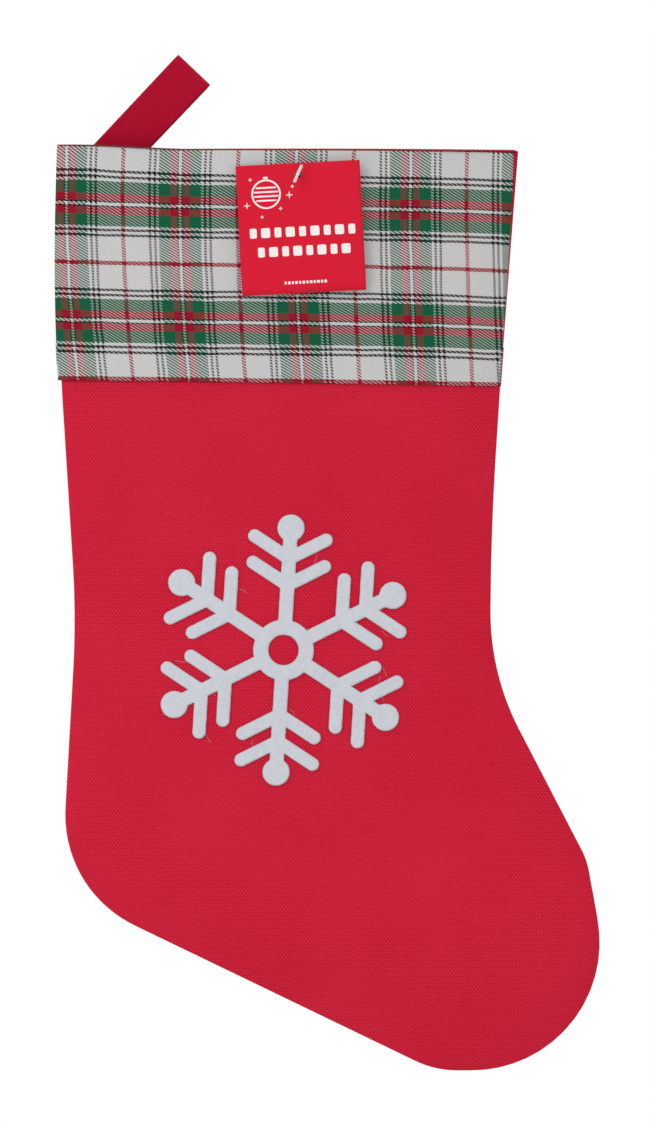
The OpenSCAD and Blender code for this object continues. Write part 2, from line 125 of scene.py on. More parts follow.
@dataclass
class Patch:
    """A mesh in the making: points in millimetres of the stocking's plan, faces and cloth coordinates."""

    points: Grid
    faces: list[list[int]]
    cloth: Grid | None = None

    @staticmethod
    def grid(points: Grid, side: Side = Side.FRONT, cloth: Grid | None = None,
             around: bool = False) -> "Patch":
        """Joins rows and columns of points with four-sided faces.

        Args:
            points: Rows by columns by 3, rows running down and columns running to +X.
            side: Which way the faces look.
            cloth: Rows by columns by 2, the place of each point in the flat cloth.
            around: Whether the last column meets the first.

        Returns:
            The patch.
        """
        rows, cols = points.shape[:2]
        index = np.arange(rows * cols).reshape(rows, cols)
        right = np.roll(index, -1, axis=1) if around else index[:, 1:]
        left = index if around else index[:, :-1]
        corners = [left[:-1], left[1:], right[1:], right[:-1]]
        if side is Side.BACK:
            corners.reverse()
        faces = np.stack(corners, axis=-1).reshape(-1, 4).tolist()
        flat = None if cloth is None else cloth.reshape(-1, 2)
        return Patch(points.reshape(-1, 3), faces, flat)

    @staticmethod
    def joined(patches: list["Patch"]) -> "Patch":
        """Puts several patches into one, their points renumbered.

        Args:
            patches: The patches, all with cloth coordinates or all without.

        Returns:
            The one patch.
        """
        starts = np.cumsum([0] + [len(p.points) for p in patches[:-1]])
        faces = [[i + int(s) for i in f] for p, s in zip(patches, starts) for f in p.faces]
        cloth = None if patches[0].cloth is None else np.concatenate([p.cloth for p in patches])
        return Patch(np.concatenate([p.points for p in patches]), faces, cloth)

    def copies(self, origins: Grid, frames: Grid) -> "Patch":
        """Repeats the patch once for each origin and frame.

        Args:
            origins: One point for each copy.
            frames: For each copy, the three directions that its own axes turn to.

        Returns:
            All the copies as one patch.
        """
        points = np.einsum("pk,mkc->mpc", self.points, frames) + origins[:, None, :]
        faces = np.array(self.faces)[None] + len(self.points) * np.arange(len(origins))[:, None, None]
        return Patch(points.reshape(-1, 3), faces.reshape(-1, faces.shape[-1]).tolist())


def sweep(path: Grid, radii: Grid, sides: int = 8, flat: float = 1.0) -> Patch:
    """Carries a ring along a path: at each point a circle of its radius, square to the path.

    Args:
        path: Points in millimetres.
        radii: The radius at each point.
        sides: Faces round the ring.
        flat: How thick the ring is along Y, as a share of its width.

    Returns:
        A closed tube whose ends are shut by two many-sided faces.
    """
    way = unit(np.gradient(path, axis=0))
    toward = np.where(np.abs(way[:, 1:2]) > 0.9, [[1.0, 0.0, 0.0]], [[0.0, 1.0, 0.0]])
    across = unit(np.cross(way, toward))
    rise = np.cross(across, way)
    turn = np.linspace(0.0, 2.0 * math.pi, sides, endpoint=False)
    ring = (np.cos(turn)[None, :, None] * across[:, None]
            + flat * np.sin(turn)[None, :, None] * rise[:, None])
    patch = Patch.grid(path[:, None] + radii[:, None, None] * ring, Side.BACK, around=True)
    last = (len(path) - 1) * sides
    patch.faces += [list(range(sides))[::-1], list(range(last, last + sides))]
    return patch


def stitch(half: float, radius: float) -> Patch:
    """Makes one short stitch along Y: a bar that bows by 0.1 mm and thins at both open ends.

    Args:
        half: Half its length.
        radius: The thread's radius.

    Returns:
        The stitch, round the origin.
    """
    reach = np.linspace(-half, half, 5)
    thick = radius * rounding(half + 0.05 - np.abs(reach), 0.3)
    bar = sweep(xyz(0.1 * np.cos(reach * 2.5), reach, 0.0), thick, 6)
    return Patch(bar.points, [face for face in bar.faces if len(face) == 4])


@dataclass
class Plan:
    """Where the plan, in millimetres from the cuff's back edge and from the rim, lies in the frame."""

    shift: Vector = field(init=False)

    def __post_init__(self) -> None:
        """Reads the rim's height and the cuff's front edge from the frame."""
        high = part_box("cuff_front")[1]
        self.shift = Vector((high.x - Outline.rim_w * MM, 0.0, high.z))

    def to_frame(self, points: Grid) -> Grid:
        """Turns plan millimetres into frame metres."""
        return points * MM + np.array(self.shift)

    def from_frame(self, point: Vector) -> Grid:
        """Turns a frame point in metres into plan millimetres."""
        return np.array((point - self.shift) / MM)

    def build(self, name: str, patch: Patch, thickness: float = 0.0,
              smooth: bool = True) -> bpy.types.Object:
        """Makes a Blender object from a patch.

        Args:
            name: The piece's name.
            patch: Its points, faces and cloth coordinates.
            thickness: The cloth's in millimetres, given inwards by Solidify; 0 for a closed shape.
            smooth: Whether its faces are shaded as one surface.

        Returns:
            The object, at the origin, with its place in its mesh.
        """
        mesh = bpy.data.meshes.new(name)
        mesh.from_pydata(self.to_frame(patch.points).tolist(), [], patch.faces)
        if patch.cloth is not None:
            layer = mesh.uv_layers.new(name="cloth")
            corner = np.zeros(len(mesh.loops), np.int32)
            mesh.loops.foreach_get("vertex_index", corner)
            layer.data.foreach_set("uv", (patch.cloth[corner] * MM).astype(np.float32).ravel())
        mesh.polygons.foreach_set("use_smooth", np.full(len(mesh.polygons), smooth))
        mesh.update()
        piece = bpy.data.objects.new(name, mesh)
        bpy.context.scene.collection.objects.link(piece)
        if thickness:
            wall = piece.modifiers.new("cloth thickness", "SOLIDIFY")
            wall.thickness = thickness * MM
            wall.offset = -1.0
        log.info("%s: %d points, %d faces", name, len(mesh.vertices), len(mesh.polygons))
        return piece


def note(piece: bpy.types.Object, name: str, values: Grid) -> None:
    """Keeps one number for each point of a piece, for its material to read."""
    attribute = piece.data.attributes.new(name, "FLOAT", "POINT")
    attribute.data.foreach_set("value", values.astype(np.float32).ravel())


def settle(piece: bpy.types.Object, body: str, slot: str, *nodes: str) -> None:
    """Hangs a piece on its body and hides the CAD nodes that it stands for.

    Args:
        piece: The finished piece.
        body: The body that it moves with.
        slot: The record's material slot; not used.
        nodes: The CAD nodes that it replaces.
    """
    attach(piece, body)
    if nodes:
        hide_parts(*nodes)


# ---------------------------------------------------------------- finishes

class Shader:
    """A material in the making: a Principled shader and the nodes that feed it."""

    def __init__(self, name: str, roughness: float, sheen: float = 0.0, specular: float = 0.3) -> None:
        """Starts a material.

        Args:
            name: The finish's name.
            roughness: How matt it is.
            sheen: How much the fibres catch light at a glance.
            specular: How much it mirrors.
        """
        self.material = bpy.data.materials.new(name)
        self.material.use_nodes = True
        self.tree = self.material.node_tree
        self.tree.nodes.clear()
        self.skin = self.tree.nodes.new("ShaderNodeBsdfPrincipled")
        out = self.tree.nodes.new("ShaderNodeOutputMaterial")
        self.tree.links.new(self.skin.outputs["BSDF"], out.inputs["Surface"])
        self.skin.inputs["Roughness"].default_value = roughness
        self.skin.inputs["Sheen Weight"].default_value = sheen
        self.skin.inputs["Specular IOR Level"].default_value = specular

    def node(self, kind: str, outlet: str | int = 0, **feeds: object) -> bpy.types.NodeSocket:
        """Adds a node and feeds its inputs.

        Args:
            kind: The node's type.
            outlet: The output to return.
            feeds: Inputs by name or, as in_0, by number; settings in lower case are set on the node.

        Returns:
            The chosen output socket.
        """
        made = self.tree.nodes.new(kind)
        for key, value in feeds.items():
            if hasattr(made, key):
                setattr(made, key, value)
                continue
            socket = made.inputs[int(key[3:]) if key.startswith("in_") else key]
            if isinstance(value, bpy.types.NodeSocket):
                self.tree.links.new(value, socket)
            else:
                socket.default_value = value
        return made.outputs[outlet]

    def math(self, operation: str, *values: object) -> bpy.types.NodeSocket:
        """Adds one sum on up to three values."""
        feeds = {f"in_{i}": value for i, value in enumerate(values)}
        return self.node("ShaderNodeMath", operation=operation, **feeds)

    def axes(self, vector: bpy.types.NodeSocket, scale: float) -> list[bpy.types.NodeSocket]:
        """Splits a vector into its three numbers, each multiplied by a scale.

        Args:
            vector: The vector's socket.
            scale: What each number is multiplied by.

        Returns:
            Three sockets.
        """
        parts = self.tree.nodes.new("ShaderNodeSeparateXYZ")
        self.tree.links.new(vector, parts.inputs[0])
        return [self.math("MULTIPLY", outlet, scale) for outlet in parts.outputs]

    def place(self) -> bpy.types.NodeSocket:
        """Gives the point's place in the frame, in metres."""
        return self.node("ShaderNodeTexCoord", "Object")

    def cloth(self) -> bpy.types.NodeSocket:
        """Gives the point's place in the flat cloth, in metres."""
        return self.node("ShaderNodeUVMap", uv_map="cloth")

    def noise(self, where: bpy.types.NodeSocket, per_mm: float,
              detail: float = 2.0) -> bpy.types.NodeSocket:
        """Adds soft noise of so many lumps to a millimetre."""
        return self.node("ShaderNodeTexNoise", Vector=where, Scale=per_mm / MM, Detail=detail)

    def blend(self, share: object, low: object, high: object) -> bpy.types.NodeSocket:
        """Mixes two colours."""
        return self.node("ShaderNodeMix", 2, data_type="RGBA", in_0=share, in_6=low, in_7=high)

    def finish(self, colour: object, height: bpy.types.NodeSocket | None = None, depth: float = 0.0,
               strength: float = 1.0) -> bpy.types.Material:
        """Feeds the shader and gives the material.

        Args:
            colour: The base colour or its socket.
            height: The bump's height from 0 to 1.
            depth: The bump's depth in millimetres.
            strength: How strongly the bump shows.

        Returns:
            The material.
        """
        base = self.skin.inputs["Base Color"]
        if isinstance(colour, bpy.types.NodeSocket):
            self.tree.links.new(colour, base)
        else:
            base.default_value = colour
        if height is not None:
            bump = self.node("ShaderNodeBump", Height=height, Distance=depth * MM, Strength=strength)
            self.tree.links.new(bump, self.skin.inputs["Normal"])
        return self.material


@dataclass(frozen=True)
class Canvas:
    """Woven cotton canvas: knots in rows, each row offset by half the knots' spacing; the knots carry a
    painted highlight and the cloth between them painted shade.

    Widths, heights and the depth are millimetres; each scale is a noise's lumps to a millimetre.
    """

    name: str = "red canvas"
    shade: Colour = (166, 6, 31)
    knot_highlight: Colour = (202, 45, 69)
    edge: Colour = (193, 28, 52)
    knot_w: float = 1.62
    rows_h: float = 2.13
    depth: float = 0.1
    knots_share: float = 0.36
    rows_share: float = 0.24
    wander: float = 1.6
    wander_scale: float = 0.3
    slub_scale: float = 0.8
    slow_scale: float = 0.02

    def material(self) -> bpy.types.Material:
        """Builds the finish.

        The lattice is cos(x) cos(z), which gives knots in offset rows, plus the rows themselves,
        cos(2z); noise loosens it and slow noise shifts the colour. The lattice's peaks are painted
        highlight and its troughs painted shade; the slub and slow noise are the cloth's own uneven tone.

        Returns:
            The material.
        """
        paint = Shader(self.name, 0.95, specular=0.02)
        where = paint.place()
        wander = paint.math("MULTIPLY", paint.noise(where, self.wander_scale), self.wander)
        x, _, z = paint.axes(where, 2.0 * math.pi / MM)
        x = paint.math("MULTIPLY_ADD", x, 1.0 / self.knot_w, wander)
        z = paint.math("MULTIPLY_ADD", z, 1.0 / self.rows_h, wander)
        cross = paint.math("MULTIPLY", paint.math("COSINE", x), paint.math("COSINE", z))
        rows = paint.math("COSINE", paint.math("MULTIPLY", z, 2.0))
        lattice = paint.math("MULTIPLY_ADD", rows, self.rows_share,
                             paint.math("MULTIPLY", cross, self.knots_share))
        slub = paint.noise(where, self.slub_scale, detail=3.0)
        slow = paint.noise(where, self.slow_scale)
        share = paint.math("MULTIPLY", lattice, paint.math("MULTIPLY_ADD", slub, 1.2, 0.4))
        share = paint.math("ADD", share, paint.math("MULTIPLY_ADD", slub, 0.5, 0.25))
        share = paint.math("ADD", share, paint.math("MULTIPLY_ADD", slow, 0.3, -0.15))
        # Painted highlight on the knots, painted shade between them, over the cloth's own uneven tone.
        colour = paint.blend(share, linear(*self.shade), linear(*self.knot_highlight))
        edge = paint.node("ShaderNodeAttribute", "Fac", attribute_name="edge")
        colour = paint.blend(edge, colour, linear(*self.edge))
        return paint.finish(colour, lattice, self.depth, 0.5)


@dataclass(frozen=True)
class Weave:
    """A close plain cloth of one colour, for the lining and the threads."""

    name: str
    shade: Colour
    light: Colour
    pitch: float = 0.5
    depth: float = 0.06
    roughness: float = 0.85

    def material(self) -> bpy.types.Material:
        """Builds the finish: a fine lattice, painted lighter on its peaks as a highlight and darker in its
        troughs as shade, and soft noise for the yarn's uneven tone.

        Returns:
            The material.
        """
        paint = Shader(self.name, self.roughness, sheen=0.1, specular=0.2)
        where = paint.place()
        x, _, z = paint.axes(where, 2.0 * math.pi / (self.pitch * MM))
        lattice = paint.math("MULTIPLY", paint.math("SINE", x), paint.math("SINE", z))
        lattice = paint.math("MULTIPLY_ADD", lattice, 0.5, 0.5)
        slub = paint.noise(where, 0.8, detail=3.0)
        share = paint.math("MULTIPLY_ADD", lattice, 0.5, paint.math("MULTIPLY_ADD", slub, 0.6, -0.05))
        # Painted highlight on the lattice's peaks and painted shade in its troughs, over the yarn's uneven
        # tone.
        colour = paint.blend(share, linear(*self.shade), linear(*self.light))
        return paint.finish(colour, lattice, self.depth, 0.5)


@dataclass(frozen=True)
class Plaid:
    """Yarn-dyed twill: the same sett of coloured threads both ways.

    `half_sett`, `warp` and `weft` are millimetres: half the pattern's repeat and the two threads' pitches.
    """

    half_sett: float = 26.85
    warp: float = 0.578
    weft: float = 0.327
    repeat: float = 4.0
    cover: float = 1.5
    contrast: float = 1.5
    wander: float = 0.9
    wander_scale: float = 0.07
    yarn_scale: float = 2.4
    white: Colour = (182, 181, 181)
    black: Colour = (24, 27, 28)
    red: Colour = (134, 20, 38)
    green: Colour = (20, 82, 56)

    def sett(self) -> list[tuple[float, Colour]]:
        """Gives each colour's start, as a share of half the sett, and the colour.

        Returns:
            The stripes in order across half the sett.
        """
        return [(0.0, self.white), (0.0209, self.black), (0.0507, self.red), (0.166, self.green),
                (0.367, self.white), (0.412, self.black), (0.457, self.white), (0.501, self.black),
                (0.546, self.white), (0.961, self.red)]

    def stripes(self, paint: Shader, across: bpy.types.NodeSocket) -> bpy.types.NodeSocket:
        """Colours one set of threads: its place is folded to and fro over half the sett.

        Args:
            paint: The material in the making.
            across: The place across the stripes, in millimetres.

        Returns:
            The thread's colour there.
        """
        folded = paint.math("PINGPONG", across, self.half_sett)
        ramp = paint.tree.nodes.new("ShaderNodeValToRGB")
        ramp.color_ramp.interpolation = "CONSTANT"
        stops = ramp.color_ramp.elements
        while len(stops) < len(self.sett()):
            stops.new(1.0)
        for stop, (start, colour) in zip(stops, self.sett()):
            stop.position = start
            stop.color = linear(*colour)
        paint.tree.links.new(paint.math("DIVIDE", folded, self.half_sett), ramp.inputs[0])
        return ramp.outputs[0]

    def material(self) -> bpy.types.Material:
        """Builds the finish.

        A warp thread shows where (its number - the weft's place) mod 4 is less than the cover, 1.5;
        the cover grows where the weft is the lighter thread and shrinks where it is the darker, in
        step with the difference. A red weft line runs along the cuff's fold.

        Returns:
            The material.
        """
        paint = Shader("plaid twill", 0.95, specular=0.04)
        u, v, _ = paint.axes(paint.cloth(), 1.0 / MM)
        wander = paint.math("MULTIPLY_ADD", paint.noise(paint.place(), self.wander_scale),
                            self.wander, -self.wander / 2.0)
        u, v = paint.math("ADD", u, wander), paint.math("ADD", v, wander)
        warp, weft = self.stripes(paint, u), self.stripes(paint, v)
        hem = paint.node("ShaderNodeAttribute", "Fac", attribute_name="hem")
        weft = paint.blend(paint.math("GREATER_THAN", hem, 0.5), weft, linear(*self.red))
        lightness = [paint.node("ShaderNodeRGBToBW", Color=colour) for colour in (weft, warp)]
        share = paint.math("MULTIPLY_ADD", paint.math("SUBTRACT", *lightness), self.contrast, self.cover)
        number = paint.math("FLOOR", paint.math("DIVIDE", u, self.warp))
        step = paint.math("SUBTRACT", number, paint.math("DIVIDE", v, self.weft))
        warp_over = paint.math("LESS_THAN", paint.math("FLOORED_MODULO", step, self.repeat), share)
        colour = paint.blend(warp_over, weft, warp)
        yarn = paint.noise(paint.place(), self.yarn_scale)
        colour = paint.node("ShaderNodeHueSaturation", Color=colour,
                            Value=paint.math("MULTIPLY_ADD", yarn, 0.5, 0.75))
        ridge = paint.math("MULTIPLY", paint.math("PINGPONG", v, self.weft / 2.0), 1.6 / self.weft)
        height = paint.math("MULTIPLY_ADD", warp_over, 0.3, ridge)
        return paint.finish(colour, height, 0.07, 0.35)


@dataclass(frozen=True)
class Felt:
    """Pressed wool felt: a mist of short fibres, faintly cool."""

    shade: Colour = (171, 174, 182)
    light: Colour = (206, 208, 214)
    fibre_scale: float = 2.0
    clump_scale: float = 0.35

    def material(self) -> bpy.types.Material:
        """Builds the finish from two sizes of noise: fibres and clumps.

        Returns:
            The material.
        """
        paint = Shader("grey felt", 0.95, sheen=0.1, specular=0.05)
        where = paint.place()
        fibre = paint.noise(where, self.fibre_scale, detail=5.0)
        clump = paint.noise(where, self.clump_scale)
        share = paint.math("ADD", paint.math("MULTIPLY", fibre, 0.8), paint.math("MULTIPLY", clump, 0.45))
        share = paint.math("SUBTRACT", share, 0.12)
        colour = paint.blend(share, linear(*self.shade), linear(*self.light))
        return paint.finish(colour, fibre, 0.5, 0.6)


@dataclass(frozen=True)
class Ribbed:
    """Ribbed ribbon: fine cords across its width, with a faint painted highlight on their crowns and
    painted shade between them.
    """

    shade: Colour = (146, 6, 34)
    light: Colour = (180, 18, 50)
    rib: float = 0.7
    thread: float = 0.45

    def material(self) -> bpy.types.Material:
        """Builds the finish: a sine along the ribbon, broken by the threads that cross it.

        Returns:
            The material.
        """
        paint = Shader("ribbed ribbon", 0.8, sheen=0.02, specular=0.05)
        u, v, _ = paint.axes(paint.cloth(), 2.0 * math.pi / MM)
        cords = paint.math("MULTIPLY_ADD", paint.math("SINE", paint.math("DIVIDE", v, self.rib)), 0.5, 0.5)
        cross = paint.math("SINE", paint.math("DIVIDE", u, self.thread))
        cross = paint.math("MULTIPLY_ADD", cross, 0.5, 0.5)
        height = paint.math("MULTIPLY_ADD", cross, 0.3, paint.math("MULTIPLY", cords, 0.7))
        slub = paint.noise(paint.place(), 0.6, detail=3.0)
        share = paint.math("MULTIPLY", height, paint.math("MULTIPLY_ADD", slub, 0.8, 0.25))
        # Painted highlight on the cords' crowns and the crossing threads, painted shade in the hollows,
        # varied by the yarn's uneven tone.
        colour = paint.blend(share, linear(*self.shade), linear(*self.light))
        return paint.finish(colour, height, 0.1, 0.6)


@dataclass(frozen=True)
class Print:
    """A coated card's printed face or its plain paper."""

    name: str
    colour: Colour
    roughness: float = 0.4

    def material(self) -> bpy.types.Material:
        """Builds the finish: one ink over faint paper grain.

        Returns:
            The material.
        """
        paint = Shader(self.name, self.roughness, specular=0.08)
        grain = paint.noise(paint.place(), 1.2, detail=3.0)
        low, high = (tuple(min(255.0, c * k) for c in self.colour) for k in (0.97, 1.03))
        return paint.finish(paint.blend(grain, linear(*low), linear(*high)), grain, 0.02, 0.15)


@dataclass(frozen=True)
class Clear:
    """Clear plastic or dried glue, milky where it is thick."""

    name: str
    colour: Colour
    through: float
    roughness: float = 0.22

    def material(self) -> bpy.types.Material:
        """Builds the finish: part of the light passes, the rest meets a milky body.

        Returns:
            The material.
        """
        paint = Shader(self.name, self.roughness, specular=0.5)
        paint.skin.inputs["Transmission Weight"].default_value = self.through
        paint.skin.inputs["IOR"].default_value = 1.49
        cloud = paint.noise(paint.place(), 0.5)
        low, high = (tuple(c * k for c in self.colour) for k in (0.94, 1.0))
        return paint.finish(paint.blend(cloud, linear(*low), linear(*high)), cloud, 0.03, 0.2)


# ---------------------------------------------------------------- outline

def corner_reach(before: tuple, corner: tuple, after: tuple, radius: float) -> float:
    """How far an arc of that radius reaches from a corner: radius over the tangent of half its angle."""
    a, b, c = np.array([before, corner, after])
    return radius / math.tan(math.acos(float(unit(a - b) @ unit(c - b))) / 2.0)


def rounded_path(points: list[tuple[float, float]], reaches: list[float], steps: int = 16) -> Grid:
    """Rounds the inner corners of an open path.

    Args:
        points: The path's start, corners and end.
        reaches: For each inner corner, how far its arc reaches from it.
        steps: Pieces to each arc.

    Returns:
        The path as points. Each arc is a quadratic blend of the corner and its two ends, weighted
        as a circle is: cos(half turn) on the corner.
    """
    path = np.array(points, float)
    pieces = [path[:1]]
    share = np.linspace(0.0, 1.0, steps)[:, None]
    for a, b, c, reach in zip(path, path[1:], path[2:], reaches):
        start, end = b + unit(a - b) * reach, b + unit(c - b) * reach
        weight = math.sin(math.acos(float(np.clip(unit(a - b) @ unit(c - b), -1.0, 1.0))) / 2.0)
        top = (1 - share) ** 2 * start + 2 * weight * share * (1 - share) * b + share ** 2 * end
        pieces.append(top / ((1 - share) ** 2 + 2 * weight * share * (1 - share) + share ** 2))
    pieces.append(path[-1:])
    return np.concatenate(pieces)


def run_of(path: Grid) -> Grid:
    """Distance along a path to each of its points."""
    return np.concatenate([[0.0], np.cumsum(np.linalg.norm(np.diff(path, axis=0), axis=1))])


@dataclass
class Outline:
    """The body's edge line, in millimetres of the stocking's plan; ribs join its back edge to its front.

    Names in `_in` are distances from the cuff's back edge (`ankle_in` from the leg's front), names in
    `_up` are heights over the lowest point (`cuff_line_up` over the cuff's lower edge); `gentle` holds
    how far the arcs of the three slightest bends reach.
    """

    height: float = 431.8
    rim_w: float = 216.4
    wrap: float = 1.3
    cuff_back: float = 108.0
    cuff_front: float = 111.0
    cuff_line_in: float = 1.5
    cuff_line_up: float = 8.0
    waist_in: float = 9.0
    waist_up: float = 212.6
    heel_in: float = 1.8
    heel_up: float = 84.7
    heel_radius: float = 57.5
    toe_end: float = 266.3
    toe_flat: float = 88.9
    ball_radius: float = 44.7
    toe_radius: float = 60.0
    toe_up: float = 98.7
    toe_lean: float = 17.6
    toe_top_radius: float = 37.0
    leg_front: float = 204.0
    ankle_in: float = 0.95
    ankle_up: float = 186.6
    ankle_radius: float = 120.0
    front_bend_down: float = 62.0
    gentle: tuple[float, float, float] = (17.9, 25.0, 31.5)
    rib_turn_up: float = 231.8
    leg_share: float = 0.4

    def __post_init__(self) -> None:
        """Lays out the two edges from the rim to the toe's tip."""
        base = -self.height
        rim_back, rim_front = (self.wrap, 0.0), (self.rim_w - self.wrap, 0.0)
        cuff_line = (self.cuff_line_in, self.cuff_line_up - self.cuff_back)
        waist, heel = (self.waist_in, base + self.waist_up), (self.heel_in, base + self.heel_up)
        ball, toe = (self.toe_end - self.toe_flat, base), (self.toe_end, base)
        toe_top = (self.toe_end - self.toe_lean, base + self.toe_up)
        ankle = (self.leg_front - self.ankle_in, base + self.ankle_up)
        bend = (self.leg_front, -(self.cuff_front + self.front_bend_down))

        toe_reach = corner_reach(ball, toe, toe_top, self.toe_radius)
        top_reach = corner_reach(toe, toe_top, ankle, self.toe_top_radius)
        side = np.array(toe_top) - np.array(toe)
        tip = np.array(toe) + unit(side) * (toe_reach + (np.linalg.norm(side) - toe_reach - top_reach) / 2)
        self.back = rounded_path(
            [rim_back, cuff_line, waist, heel, ball, toe, tuple(tip)],
            [self.gentle[0], self.gentle[1], corner_reach(waist, heel, ball, self.heel_radius),
             corner_reach(heel, ball, toe, self.ball_radius), toe_reach])
        self.front = rounded_path(
            [rim_front, bend, ankle, toe_top, tuple(tip)],
            [self.gentle[2], corner_reach(bend, ankle, toe_top, self.ankle_radius), top_reach])
        self.back_run, self.front_run = run_of(self.back), run_of(self.front)
        self.leg_straight = self.height - self.rib_turn_up
        self.back_leg = self.run_at_level(self.back, self.back_run, self.leg_straight)
        self.front_leg = self.run_at_level(self.front, self.front_run, self.leg_straight)

    @staticmethod
    def run_at_level(path: Grid, run: Grid, level: Grid) -> Grid:
        """Distance along an edge to a level below the rim, where the edge is over 60 mm above its end."""
        falling = path[:, 1] > path[:, 1].min() + 60.0
        return np.interp(level, -path[falling, 1], run[falling])

    @staticmethod
    def at(path: Grid, run: Grid, distance: Grid) -> Grid:
        """The point at a distance along an edge."""
        return np.stack([np.interp(distance, run, path[:, axis]) for axis in (0, 1)], axis=-1)

    def rib(self, t: Grid) -> tuple[Grid, Grid]:
        """Ends of the rib at t, 0 at the rim and 1 at the toe's tip.

        Args:
            t: The rib's parameter; its leg share runs down the leg, the rest round the foot.

        Returns:
            Its points on the back edge and on the front edge.
        """
        share = self.leg_share

        def along(leg: float, end: float) -> Grid:
            """Distance along one edge."""
            return np.where(t < share, leg * t / share, leg + (end - leg) * (t - share) / (1 - share))

        return (self.at(self.back, self.back_run, along(self.back_leg, self.back_run[-1])),
                self.at(self.front, self.front_run, along(self.front_leg, self.front_run[-1])))

    def level_edge(self, level_back: Grid, level_front: Grid) -> tuple[Grid, Grid]:
        """Points on the back and the front edge at levels below the rim.

        Args:
            level_back, level_front: The levels, one for each edge.

        Returns:
            The two sets of points.
        """
        back = self.run_at_level(self.back, self.back_run, level_back)
        front = self.run_at_level(self.front, self.front_run, level_front)
        return self.at(self.back, self.back_run, back), self.at(self.front, self.front_run, front)

    def locate(self, x: Grid, z: Grid) -> tuple[Grid, Grid]:
        """Finds the rib and the place on it for points of the plan, by halving the range of ribs 34 times.

        Args:
            x, z: The points.

        Returns:
            The rib's parameter t and the share v across it.
        """
        low, high = np.zeros_like(x), np.ones_like(x)
        for _ in range(34):
            t = (low + high) / 2
            a, b = self.rib(t)
            past = (b[..., 0] - a[..., 0]) * (z - a[..., 1]) - (b[..., 1] - a[..., 1]) * (x - a[..., 0]) < 0
            low, high = np.where(past, t, low), np.where(past, high, t)
        a, b = self.rib(t)
        span = b - a
        v = ((x - a[..., 0]) * span[..., 0] + (z - a[..., 1]) * span[..., 1]) / (span ** 2).sum(axis=-1)
        return t, v

    def loop(self, inset: float, step: float) -> tuple[Grid, Grid]:
        """The edge from the rim's back corner round the foot to the rim's front corner.

        Args:
            inset: How far inside the edge.
            step: Distance between points.

        Returns:
            The points and, at each, the way inwards.
        """
        down = self.at(self.back, self.back_run, np.arange(0.0, self.back_run[-1], step))
        up = self.at(self.front, self.front_run, np.arange(self.front_run[-1], 0.0, -step))
        path = np.concatenate([down, up])
        way = unit(np.gradient(path, axis=0))
        inward = np.stack([-way[:, 1], way[:, 0]], axis=-1)
        return path + inset * inward, inward


